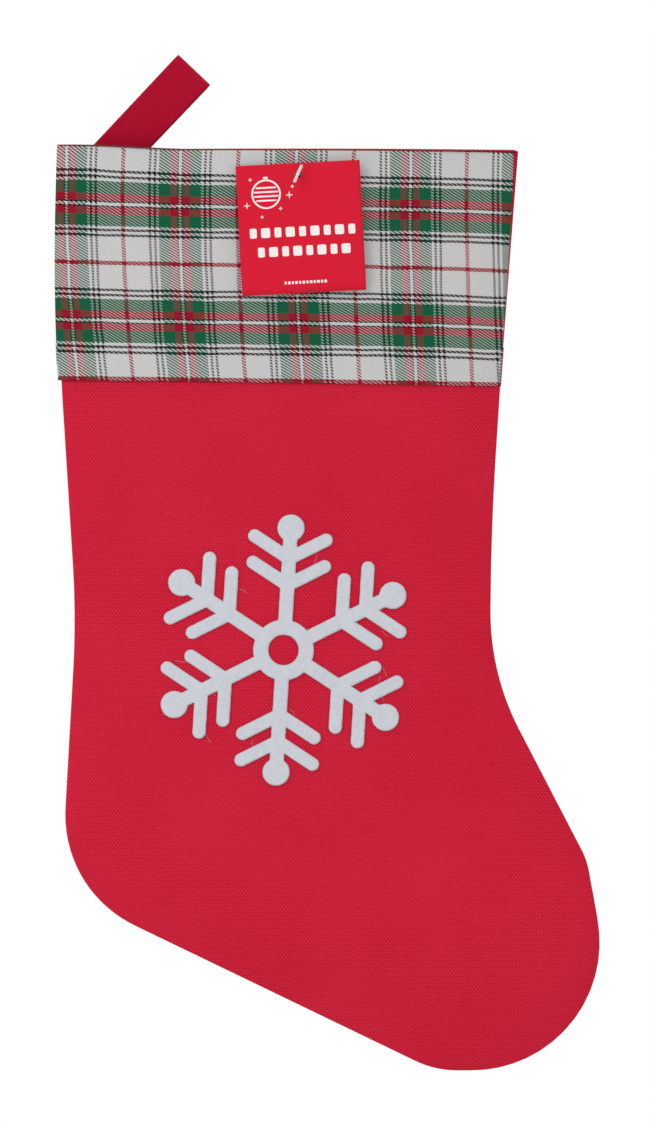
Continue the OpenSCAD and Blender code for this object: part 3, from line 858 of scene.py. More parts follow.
@dataclass
class Form:
    """The filled stocking's thickness over its plan."""

    outline: Outline = field(default_factory=Outline)
    gap: float = 0.15
    mouth: float = 12.5
    leg: float = 14.0
    fullness: float = 0.75
    toe_start: float = 0.74
    panel_t: float = 1.0
    layer_gap: float = 0.3
    cuff_t: float = 1.0
    ripple_h: float = 0.35
    lift_h: float = 3.1
    lift_x: float = 38.0
    lift_run: float = 12.0
    sink: float = 0.95
    lift_fall: float = 22.0

    def half_depth(self, t: Grid) -> Grid:
        """Half the depth between the panels at mid-width of a rib."""
        return np.interp(t, [0.0, self.outline.leg_share], [self.mouth, self.leg])

    def close(self, t: Grid, stop: float = 1.0) -> Grid:
        """Thins the foot towards the toe: (1 - s squared) to the fullness, s from 0 to 1 over the toe."""
        share = np.clip((t - self.toe_start) / (stop - self.toe_start), 0.0, 1.0)
        return (1.0 - share ** 2) ** self.fullness

    def section(self, v: Grid) -> Grid:
        """Cross-section of a rib: 4v(1 - v) to the fullness."""
        return np.clip(4.0 * v * (1.0 - v), 0.0, None) ** self.fullness

    def inner(self, t: Grid, v: Grid) -> Grid:
        """Distance of a panel's inner face from the seam plane."""
        return self.gap + self.half_depth(t) * self.section(v) * self.close(t)

    def edge_distance(self, x: Grid, z: Grid) -> Grid:
        """Distance from points to the outline, taken to the nearest of its short straight pieces.

        Args:
            x, z: The points.

        Returns:
            Their distances in millimetres.
        """
        line, _ = self.outline.loop(0.0, 1.5)
        line = line[np.concatenate([[True], np.linalg.norm(np.diff(line, axis=0), axis=1) > 1e-6])]
        flat = np.stack([x.ravel(), z.ravel()], axis=-1)[:, None]
        best = np.full(len(flat), np.inf)
        for start, end in zip(np.array_split(line[:-1], 16), np.array_split(line[1:], 16)):
            span = end - start
            share = np.clip(((flat - start) * span).sum(axis=-1) / (span ** 2).sum(axis=-1), 0.0, 1.0)
            gap = flat - start - share[..., None] * span
            best = np.minimum(best, np.hypot(gap[..., 0], gap[..., 1]).min(axis=1))
        return best.reshape(x.shape)

    def ripple(self, x: Grid, z: Grid, side: Side) -> Grid:
        """Slow unevenness of soft cloth: four sines of different lengths, faded at the ends of the ribs.

        Args:
            x, z: The points.
            side: Which panel.

        Returns:
            How far the cloth stands out, in millimetres.
        """
        shift = 1.7 * side.value
        wave = (np.sin(x / 31.0 + z / 47.0 + shift) + 0.8 * np.sin(x / 22.0 - z / 29.0 + 2.1 * shift)
                + 0.6 * np.sin(x / 13.0 + z / 18.0 - shift) + 0.5 * np.sin(z / 12.5 - x / 41.0 + shift))
        return self.ripple_h * wave

    @staticmethod
    def fade(v: Grid) -> Grid:
        """How much of the ripple is felt across a rib: none at its ends, all from a seventh in."""
        return 1.0 - (1.0 - np.clip(v * (1.0 - v) * 8.0, 0.0, 1.0)) ** 2

    def outer_at(self, x: Grid, z: Grid) -> Grid:
        """Distance of the front canvas's outer face from the seam plane, well inside the outline.

        Args:
            x, z: The points.

        Returns:
            Their distances in millimetres.
        """
        t, v = self.outline.locate(x, z)
        ripple = self.fade(v) * self.close(t) * self.ripple(x, z, Side.FRONT)
        return self.inner(t, v) + self.panel_t + ripple

    def lift(self, x: Grid, level: Grid) -> Grid:
        """How much the rim rises towards its back corner, where the loop is sewn in, and sinks beyond."""
        rise = self.lift_h / (1.0 + np.exp((x - self.lift_x) / self.lift_run))
        return (rise - self.sink) * np.exp(-level / self.lift_fall)


# ---------------------------------------------------------------- body

@dataclass
class Body:
    """The canvas leg and foot: two panels, their turned-in edges and the stitches that join them."""

    plan: Plan
    form: Form
    leg_rows: int = 80
    foot_rows: int = 170
    columns: int = 96
    canvas_t: float = 0.55
    edge_strip: float = 1.1
    allowance_in: float = 0.8
    allowance_w: float = 7.0
    allowance_t: float = 0.2
    stitch_pitch: float = 3.2
    stitch_half: float = 0.55
    stitch_r: float = 0.24

    def panel(self, side: Side) -> bpy.types.Object:
        """Makes one panel.

        Each rib carries points crowded at its ends; their distance from the seam plane is the inner
        face, plus the cloth's thickness brought to nothing by a quarter circle at the outline.

        Args:
            side: Front or back.

        Returns:
            The panel's object.
        """
        share = self.form.outline.leg_share
        t = np.concatenate([np.linspace(0.0, share, self.leg_rows, endpoint=False),
                            share + (1 - share) * np.sin(np.linspace(0, math.pi / 2, self.foot_rows))])
        t, v = np.meshgrid(t, ease(self.columns), indexing="ij")
        a, b = self.form.outline.rib(t)
        x, z = np.moveaxis(a + (b - a) * v[..., None], -1, 0)
        edge = self.form.edge_distance(x, z)
        edge[:, [0, -1]] = 0.0
        out = (self.form.inner(t, v) + self.form.panel_t * rounding(edge, self.form.panel_t)
               + self.form.fade(v) * self.form.close(t) * self.form.ripple(x, z, side))
        patch = Patch.grid(xyz(x, side.value * out, z), side)
        name = side.name.lower()
        piece = self.plan.build(f"{name}_canvas", patch, self.canvas_t)
        note(piece, "edge", np.clip(1.0 - edge / self.edge_strip, 0.0, 1.0))
        settle(piece, "stocking", "red_canvas", f"{name}_panel")
        return piece

    def allowance(self) -> bpy.types.Object:
        """Makes the turned-in edges: a strip that follows the outline inside it, gently waved.

        Returns:
            The strip's object.
        """
        path, inward = self.form.outline.loop(self.allowance_in, 4.0)
        keep = path[:, 1] < -4.0
        path, inward = path[keep], inward[keep]
        across = np.linspace(0.0, self.allowance_w, 5)
        plan = path[:, None] + across[None, :, None] * inward[:, None]
        wave = 0.05 * np.sin(np.arange(len(path)) / 2.3)[:, None] * np.linspace(0.2, 1.0, 5)
        points = xyz(plan[..., 0], wave, plan[..., 1])
        piece = self.plan.build("seam_edges", Patch.grid(points), self.allowance_t)
        settle(piece, "stocking", "red_canvas", "seam_allowance")
        return piece

    def stitches(self) -> bpy.types.Object:
        """Makes the side seam's stitches: short bars across the gap between the panels' edges.

        Returns:
            The stitches' object.
        """
        path, inward = self.form.outline.loop(self.stitch_half, self.stitch_pitch)
        keep = path[:, 1] < -self.form.outline.cuff_front
        path, inward = path[keep], inward[keep]
        out = -xyz(inward[:, 0], 0.0, inward[:, 1])
        depth = np.tile([0.0, 1.0, 0.0], (len(path), 1))
        frames = np.stack([out, depth, np.cross(out, depth)], axis=1)
        patch = stitch(self.stitch_half, self.stitch_r).copies(xyz(path[:, 0], 0.0, path[:, 1]), frames)
        piece = self.plan.build("side_seam_stitches", patch)
        settle(piece, "stocking", "red_thread", "side_seam_thread")
        return piece

    def make(self, finishes: "Finishes") -> None:
        """Builds and dresses the pieces.

        Args:
            finishes: The materials.
        """
        for piece in (self.panel(Side.FRONT), self.panel(Side.BACK), self.allowance()):
            piece.data.materials.append(finishes.canvas)
        self.stitches().data.materials.append(finishes.thread)


@dataclass
class Lining:
    """The lining of each side, rolled over the rim so that a thin dark line shows."""

    plan: Plan
    form: Form
    inset: float = 9.5
    drop: float = 0.9
    cloth_t: float = 0.35
    roll_h: float = 0.5
    stop: float = 0.93
    rows: int = 110
    columns: int = 72
    cuff_off: float = 2.3
    corner_r: float = 2.3
    roll_steps: int = 12
    roll_turns: float = 1.06
    roll_clear: float = 0.12

    def side(self, side: Side) -> bpy.types.Object:
        """Makes one side of the lining.

        Up the inside it follows the ribs, narrower than they are; at the rim half an ellipse carries
        it over the canvas and the cuff.

        Args:
            side: Front or back.

        Returns:
            The lining's object.
        """
        outline = self.form.outline
        t = np.concatenate([np.linspace(self.stop, 0.03, self.rows), np.linspace(0.028, 0.0, 14)])
        t, v = np.meshgrid(t, ease(self.columns), indexing="ij")
        a, b = outline.rib(t)
        span = np.linalg.norm(b - a, axis=-1)
        level = outline.leg_straight * t / outline.leg_share
        inset = self.inset - (self.inset + outline.wrap - 0.3) * np.exp(-level / 9.0)
        share = (inset / span)[..., None] + v[..., None] * (1.0 - 2.0 * inset / span)[..., None]
        x, z = np.moveaxis(a + (b - a) * share, -1, 0)
        z = z + self.form.lift(x, level)
        inside = self.form.gap + (self.form.half_depth(t) - self.drop) * self.form.section(v) \
            * self.form.close(t, self.stop)
        climb = xyz(x, inside, z)
        turn = np.linspace(0.0, math.pi * self.roll_turns, self.roll_steps)[1:, None]
        rim_x = x[-1]
        edge = np.minimum(rim_x, outline.rim_w - rim_x)
        outside = self.form.gap + self.cuff_off * rounding(edge, self.corner_r) \
            + self.form.mouth * self.form.section(v[-1]) + self.roll_clear
        middle, half = (outside + inside[-1]) / 2.0, (outside - inside[-1]) / 2.0
        roll = xyz(rim_x, middle - half * np.cos(turn), z[-1] + self.roll_h * np.sin(turn))
        points = np.concatenate([climb, roll])
        points[..., 1] *= side.value
        name = side.name.lower()
        piece = self.plan.build(f"{name}_lining_cloth", Patch.grid(points, side), self.cloth_t)
        settle(piece, "stocking", "red_lining", f"{name}_lining")
        return piece

    def make(self, finishes: "Finishes") -> None:
        """Builds and dresses the pieces."""
        for side in Side:
            self.side(side).data.materials.append(finishes.lining)


@dataclass
class Cuff:
    """The cuff: plaid in front and plain red behind, folded under at its lower edge.

    The plaid is cut and pulled a little askew: `warp_drift` and `weft_drift` are cubics of the place
    across and down the cuff, each from -1 to 1, that give millimetres.
    """

    plan: Plan
    form: Form
    bulge: float = 1.2
    cloth_t: float = 0.35
    corner_r: float = 2.3
    fold_r: float = 0.5
    hem: float = 18.0
    hem_line: float = 1.5
    hem_line_up: float = 0.7
    turn_on: float = 0.3
    turn_on_more: float = 1.8
    turn_on_fall: float = 30.0
    dip: float = 0.55
    dip_w: float = 0.7
    lip_r: float = 0.6
    rows: int = 90
    columns: int = 110
    stitch_pitch: float = 3.0
    stitch_half: float = 0.5
    stitch_r: float = 0.22
    stitch_in: float = 0.45
    warp_drift: tuple = (
        (-4.96, -1.65, -1.57, 0.11),
        (-0.57, 0.7, 0.57, 0.0),
        (0.26, -0.51, 0.0, 0.0),
        (1.44, 0.0, 0.0, 0.0))
    weft_drift: tuple = (
        (-28.2, 0.17, 0.57, -2.29),
        (-0.5, 0.66, 0.54, 0.0),
        (-0.03, -0.22, 0.0, 0.0),
        (-1.1, 0.0, 0.0, 0.0))

    @property
    def height(self) -> float:
        """The cuff's height at mid-width."""
        return (self.form.outline.cuff_back + self.form.outline.cuff_front) / 2.0

    def levels(self) -> tuple[Grid, Grid, Grid]:
        """Rows of the cuff from the rim down its face, round the fold and up inside.

        Returns:
            The level at mid-width, the distance off the canvas, and the distance down the flat cloth.
        """
        off = self.form.layer_gap + self.form.cuff_t
        low = self.height - self.fold_r
        lip = np.linspace(0.0, math.pi / 2.0, 6)[:-1]
        fold = np.linspace(0.0, math.pi, 13)
        face = np.linspace(self.lip_r, low, self.rows)[:-1]
        inside = np.linspace(low, self.height - self.hem, 16)[1:]
        level = np.concatenate([self.lip_r * (1 - np.cos(lip)), face,
                                low + self.fold_r * np.sin(fold), inside])
        offs = np.concatenate([off - self.lip_r * (1 - np.sin(lip)), np.full(len(face), off),
                               off - self.fold_r * (1 - np.cos(fold)),
                               np.full(len(inside), off - 2 * self.fold_r)])
        down = run_of(np.stack([level, offs], axis=-1))
        return level, offs, down

    def seam(self) -> Grid:
        """Gives, for each row, where front and back cloth meet: nearer the edge below the rim.

        Returns:
            Its place from the back edge, as a share of the cuff's width.
        """
        level = self.levels()[0]
        turned = self.turn_on + self.turn_on_more * np.exp(-level / self.turn_on_fall)
        return (1.0 - turned / self.form.outline.rim_w)[:, None]

    def surface(self, v: Grid, side: Side, seam: Grid | float) -> tuple[Grid, Grid]:
        """Works out one side of the cuff.

        Args:
            v: Rows by columns, the place across the cuff from its back edge to its front edge.
            side: Front or back.
            seam: Where front and back cloth meet, and the cloth dips; past 1 for a side without one.

        Returns:
            Points, rows by columns by 3, and the place of each in the flat cloth.
        """
        outline = self.form.outline
        level, offs, down = self.levels()
        share = level / self.height
        left, right = outline.level_edge(share * outline.cuff_back, share * outline.cuff_front)
        left[:, 0] -= outline.wrap + self.bulge * np.sin(math.pi * np.clip(share, 0, 1))
        right[:, 0] += outline.wrap * (1.0 - np.clip(share, 0, 1))
        width = (right - left)[:, 0:1]
        plan = left[:, None] + (right - left)[:, None] * v[..., None]
        x, z = plan[..., 0], plan[..., 1] + self.form.lift(plan[..., 0], level[:, None])
        edge = np.minimum(v, 1.0 - v) * width
        dip = 1.0 - self.dip * np.exp(-((v - seam) * width / self.dip_w) ** 2)
        t = outline.leg_share * level / outline.leg_straight
        swell = self.form.half_depth(t)[:, None] * self.form.section(v)
        cloth_off = (self.form.panel_t + offs)[:, None] * rounding(edge, self.corner_r) * dip
        ripple = self.form.fade(v) * self.form.ripple(x, -level[:, None], side)
        out = self.form.gap + swell + cloth_off + ripple
        across, along = np.broadcast_arrays(2.0 * x / outline.rim_w - 1.0,
                                            2.0 * down[:, None] / self.height - 1.0)
        drift = [np.polynomial.polynomial.polyval2d(across, along, np.array(table))
                 for table in (self.warp_drift, self.weft_drift)]
        return xyz(x, side.value * out, z), np.stack([x + drift[0], down[:, None] + drift[1]], axis=-1)

    def front(self) -> bpy.types.Object:
        """Makes the plaid front.

        Returns:
            The plaid's object.
        """
        seam = self.seam()
        points, cloth = self.surface(ease(self.columns) * seam, Side.FRONT, seam)
        piece = self.plan.build("plaid_cuff", Patch.grid(points, Side.FRONT, cloth), self.cloth_t)
        level, _, down = self.levels()
        from_line = np.abs(down - down[level.argmax()] + self.hem_line_up)[:, None]
        note(piece, "hem", np.broadcast_to(1.0 - from_line / (2.0 * self.hem_line), points.shape[:2]))
        settle(piece, "stocking", "plaid_twill", "cuff_front")
        return piece

    def back(self) -> bpy.types.Object:
        """Makes the plain back, which turns round the front edge on to the face.

        Returns:
            The back's object.
        """
        seam = self.seam()
        straight = np.broadcast_to(ease(self.columns), (len(seam), self.columns))
        behind, behind_cloth = self.surface(straight, Side.BACK, 2.0)
        wrap = 1.0 - (1.0 - seam) * np.linspace(0.0, 1.0, 10)[1:]
        before, before_cloth = self.surface(wrap, Side.FRONT, seam)
        points = np.concatenate([behind, before], axis=1)
        cloth = np.concatenate([behind_cloth, before_cloth], axis=1)
        piece = self.plan.build("red_cuff_back", Patch.grid(points, Side.BACK, cloth), self.cloth_t)
        note(piece, "edge", np.zeros(points.shape[:2]))
        settle(piece, "stocking", "red_cuff_cloth", "cuff_back")
        return piece

    def stitches(self) -> bpy.types.Object:
        """Makes the stitches of the cuff's back side seam: short bars that cross the seam.

        Returns:
            The stitches' object.
        """
        outline = self.form.outline
        share = np.arange(4.0, outline.cuff_back - 2.0, self.stitch_pitch) / outline.cuff_back
        left, _ = outline.level_edge(share * outline.cuff_back, share * outline.cuff_front)
        x = left[:, 0] - outline.wrap - self.bulge * np.sin(math.pi * share) + self.stitch_in
        origins = xyz(x, 0.0, left[:, 1] + self.form.lift(x, share * outline.cuff_back))
        frames = np.tile(np.diag([-1.0, 1.0, -1.0]), (len(origins), 1, 1))
        patch = stitch(self.stitch_half, self.stitch_r).copies(origins, frames)
        piece = self.plan.build("cuff_seam_stitches", patch)
        settle(piece, "stocking", "red_thread", "cuff_seam_thread")
        return piece

    def make(self, finishes: "Finishes") -> None:
        """Builds and dresses the pieces.

        Args:
            finishes: The materials.
        """
        self.front().data.materials.append(finishes.plaid)
        self.back().data.materials.append(finishes.cuff_cloth)
        self.stitches().data.materials.append(finishes.thread)


# ---------------------------------------------------------------- snowflake

@dataclass
class Snowflake:
    """The felt snowflake: six arms with end balls and two pairs of branches about a ring."""

    plan: Plan
    form: Form
    centre: tuple[float, float] = (106.4, -234.4)
    turn: float = 3.5
    arm: float = 57.1
    arm_w: float = 6.8
    ball: float = 6.4
    ring_in: float = 7.0
    ring_out: float = 14.2
    branches: tuple[float, float] = (30.4, 42.8)
    branch_l: float = 19.3
    branch_w: float = 6.3
    felt_t: float = 1.2
    round_r: float = 0.55
    sunk: float = 0.15
    step: float = 0.5
    wisps: int = 30
    wisp_r: float = 0.07
    wisp_off: float = 0.12

    def distance(self, x: Grid, z: Grid) -> Grid:
        """Signed distance to the cut edge, less than zero in the felt.

        The plane is folded on to half of one arm; there the felt is the union of bars with round
        ends, a disc and a ring, and the middle is cut out.

        Args:
            x, z: Points measured from the snowflake's middle.

        Returns:
            Their distances in millimetres.
        """
        turn = math.radians(self.turn)
        p, q = x * math.cos(turn) - z * math.sin(turn), x * math.sin(turn) + z * math.cos(turn)
        radius, angle = np.hypot(p, q), np.arctan2(q, p)
        sector = math.pi / 3.0
        folded = np.abs((angle % sector) - sector / 2.0)
        p, q = radius * np.cos(folded), radius * np.sin(folded)

        def bar(start: tuple[float, float], way: float, length: float, width: float) -> Grid:
            """Distance to a bar with round ends.

            Args:
                start: The centre of its first end.
                way: Its angle from the arm.
                length: Distance between its ends' centres.
                width: Its width.

            Returns:
                The points' distances.
            """
            dx, dz = p - start[0], q - start[1]
            along = np.clip(dx * math.cos(way) + dz * math.sin(way), 0.0, length)
            return np.hypot(dx - along * math.cos(way), dz - along * math.sin(way)) - width / 2.0

        ring_mid = (self.ring_in + self.ring_out) / 2.0
        shapes = [bar((ring_mid, 0.0), 0.0, self.arm - ring_mid, self.arm_w),
                  np.hypot(p - self.arm, q) - self.ball, radius - self.ring_out]
        shapes += [bar((at, 0.0), sector, self.branch_l, self.branch_w) for at in self.branches]
        return np.maximum(np.minimum.reduce(shapes), self.ring_in - radius)

    def felt(self) -> bpy.types.Object:
        """Makes the felt.

        A square grid covers it; grid points just outside the cut are moved on to it along the
        distance's slope. The height over the canvas is the felt's thickness times a quarter circle
        at the cut, and an under side shares the cut's points.

        Returns:
            The felt's object.
        """
        reach = self.arm + self.ball + 2.0 * self.step
        line = np.arange(-reach, reach + self.step, self.step)
        z, x = np.meshgrid(line[::-1], line, indexing="ij")
        gap = self.distance(x, z)
        slope_z, slope_x = np.gradient(gap, -self.step, self.step)
        outside = gap >= 0.0
        size = np.maximum(np.hypot(slope_x, slope_z), 0.3)
        x = np.where(outside, x - gap * slope_x / size, x)
        z = np.where(outside, z - gap * slope_z / size, z)
        corner = [np.s_[:-1, :-1], np.s_[1:, :-1], np.s_[1:, 1:], np.s_[:-1, 1:]]
        kept = np.any([~outside[c] for c in corner], axis=0)
        index = np.arange(gap.size).reshape(gap.shape)
        quads = np.stack([index[c][kept] for c in corner], axis=-1)
        used, flat = np.unique(quads, return_inverse=True)
        quads = flat.reshape(quads.shape)
        x, z, depth = x.ravel()[used], z.ravel()[used], np.where(outside, 0.0, -gap).ravel()[used]
        rim = depth == 0.0
        x, z = x + self.centre[0], z + self.centre[1]
        canvas = self.form.outer_at(x, z)
        nap = 0.05 * np.sin(x * 1.9 + 0.7 * z) * np.sin(z * 1.7 - 0.4 * x)
        top = canvas + 0.05 + (self.felt_t + nap) * rounding(depth, self.round_r)
        under = np.where(rim, np.arange(len(used)), len(used) + np.cumsum(~rim) - 1)
        points = np.concatenate([xyz(x, -top, z), xyz(x, self.sunk - canvas, z)[~rim]])
        faces = quads.tolist() + under[quads][:, ::-1].tolist()
        piece = self.plan.build("felt_snowflake", Patch(points, faces))
        settle(piece, "stocking", "grey_felt", "snowflake")
        return piece

    def glue(self) -> bpy.types.Object:
        """Makes the glue's wisps: fine strands that curl out from near the felt's cut edge.

        Returns:
            The wisps' object.
        """
        chance = np.random.default_rng(11)
        strands = []
        share = np.linspace(0.0, 1.0, 9)
        while len(strands) < self.wisps:
            at = chance.uniform(-self.arm, self.arm, 2)
            gap = float(self.distance(at[:1], at[1:])[0])
            way, bend = chance.uniform(0, 2 * math.pi), chance.uniform(-1.6, 1.6)
            length = chance.uniform(3.0, 8.0)
            if not -1.0 < gap < 0.8:
                continue
            angle = way + bend * share
            x = self.centre[0] + at[0] + np.cumsum(np.cos(angle)) * length / len(share)
            z = self.centre[1] + at[1] + np.cumsum(np.sin(angle)) * length / len(share)
            out = self.form.outer_at(x, z) + self.wisp_off
            strands.append(sweep(xyz(x, -out, z), np.full(len(share), self.wisp_r), 5))
        piece = self.plan.build("glue_wisps", Patch.joined(strands))
        settle(piece, "stocking", "clear_glue", "snowflake_glue")
        return piece

    def make(self, finishes: "Finishes") -> None:
        """Builds and dresses the pieces."""
        self.felt().data.materials.append(finishes.felt)
        self.glue().data.materials.append(finishes.glue)


# ---------------------------------------------------------------- hanging loop

@dataclass
class HangingLoop:
    """The ribbon: folded double round the eye, closing below it, its ends sewn to the back seam."""

    plan: Plan
    form: Form
    eye: tuple[float, float] = (61.4, 34.4)
    lean: float = 43.4
    width: float = 20.4
    ribbon_t: float = 0.5
    eye_r: float = 4.0
    bend_up: float = 2.9
    blend_reach: float = 2.2
    ply_gap: float = 0.1
    tail_x: float = 14.8
    across: int = 17
    camber: float = 0.12
    tack_h: float = 12.0
    tack_w: float = 2.4
    tack_in: float = 2.2
    tack_off: float = 0.12
    tack_r: float = 0.22
    zigs: int = 13

    @property
    def tilt(self) -> float:
        """The lean from upright, in radians."""
        return math.radians(self.lean)

    def profile(self) -> tuple[Grid, Grid]:
        """Half of the ribbon seen on edge: distance below the eye and distance from the middle plane.

        Returns:
            The two as arrays, from the top of the eye down to where the plies meet: an arc, then a
            straight run that levels off as a smooth step.
        """
        middle = self.eye_r + self.ribbon_t / 2.0
        close = self.ply_gap + self.ribbon_t / 2.0
        meet = (self.eye[1] - self.bend_up) / math.cos(self.tilt) + self.width / 2.0 * math.tan(self.tilt)
        slope = math.atan2(middle - close, meet)
        turn = np.linspace(0.0, math.pi / 2.0 + slope, 20)
        down, out = -middle * np.cos(turn), middle * np.sin(turn)
        share = np.linspace(0.0, 1.0, 34)[1:]
        run = down[-1] + (meet - down[-1]) * share
        fall = out[-1] + (close - out[-1]) * (share + 0.06 * np.sin(math.pi * share) ** 2)
        return np.concatenate([down, run]), np.concatenate([out, np.maximum(fall, close)])

    def lay(self, u: Grid, down: Grid, out: Grid) -> Grid:
        """Places points of the leaning ribbon.

        Args:
            u: Distance across the ribbon from its middle.
            down: Distance below the eye along the ribbon.
            out: Distance in front of the middle plane.

        Returns:
            Points of the plan.
        """
        x = self.eye[0] - down * math.sin(self.tilt) + u * math.cos(self.tilt)
        z = self.eye[1] - down * math.cos(self.tilt) - u * math.sin(self.tilt)
        return xyz(x, -out, z)

    def ribbon(self) -> bpy.types.Object:
        """Makes the ribbon as one strip: up the front from the seam, over the eye and down the back.

        Returns:
            The ribbon's object.
        """
        down, out = self.profile()
        u = np.linspace(-self.width / 2.0, self.width / 2.0, self.across)
        cut = (self.eye[0] - self.tail_x + u * math.cos(self.tilt)) / math.sin(self.tilt)
        share = np.linspace(0.0, 1.0, 24)[1:, None]
        tail = down[-1] + (cut[None] - down[-1]) * share
        half_down = np.concatenate([np.broadcast_to(down[:, None], (len(down), len(u))), tail])
        half_out = np.concatenate([out, np.full(len(share), out[-1])])[:, None]
        camber = self.camber * (1.0 - (2.0 * u / self.width) ** 2)
        half_out = half_out + camber * np.clip(half_out / self.eye_r, 0.0, 1.0)
        full_down = np.concatenate([half_down[::-1], half_down[1:]])
        full_out = np.concatenate([half_out[::-1], -half_out[1:]])
        points = self.lay(u[None], full_down, full_out)
        along = run_of(points[:, len(u) // 2])
        cloth = np.stack(np.broadcast_arrays(u[None], along[:, None]), axis=-1)
        patch = Patch.grid(points[::-1], Side.FRONT, cloth[::-1])
        piece = self.plan.build("hanging_ribbon", patch, self.ribbon_t)
        piece.modifiers[0].offset = 0.0
        bend = self.bend_up + self.blend_reach * np.array([1.0, -1.0])
        start, end = self.plan.to_frame(xyz(0.0, 0.0, bend))
        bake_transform(piece)
        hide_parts("hanging_loop", "loop_tail")
        return piece

    def bartack(self) -> bpy.types.Object:
        """Makes the zigzag stitches that hold the ribbon's ends, one run on each face.

        Returns:
            The stitches' object.
        """
        reach = (self.eye[0] - self.tail_x - self.tack_in) / math.sin(self.tilt)
        x = self.eye[0] - reach * math.sin(self.tilt)
        z = self.eye[1] - reach * math.cos(self.tilt)
        turns = np.arange(self.zigs)
        fine = np.linspace(0, self.zigs - 1, 8 * self.zigs)
        sway = np.interp(fine, turns, self.tack_w / 2.0 * np.where(turns % 2, 1.0, -1.0))
        rise = np.interp(fine, turns, np.linspace(-self.tack_h / 2.0, self.tack_h / 2.0, self.zigs))
        off = self.ply_gap + self.ribbon_t + self.tack_off
        thick = np.full(len(rise), self.tack_r)
        rows = [sweep(xyz(x + sway, side.value * off, z + rise), thick, 6) for side in Side]
        piece = self.plan.build("ribbon_bartack", Patch.joined(rows))
        settle(piece, "stocking", "red_thread", "loop_bartack")
        return piece

    def make(self, finishes: "Finishes") -> None:
        """Builds and dresses the pieces."""
        self.ribbon().data.materials.append(finishes.ribbon)
        self.bartack().data.materials.append(finishes.thread)


# ---------------------------------------------------------------- tag

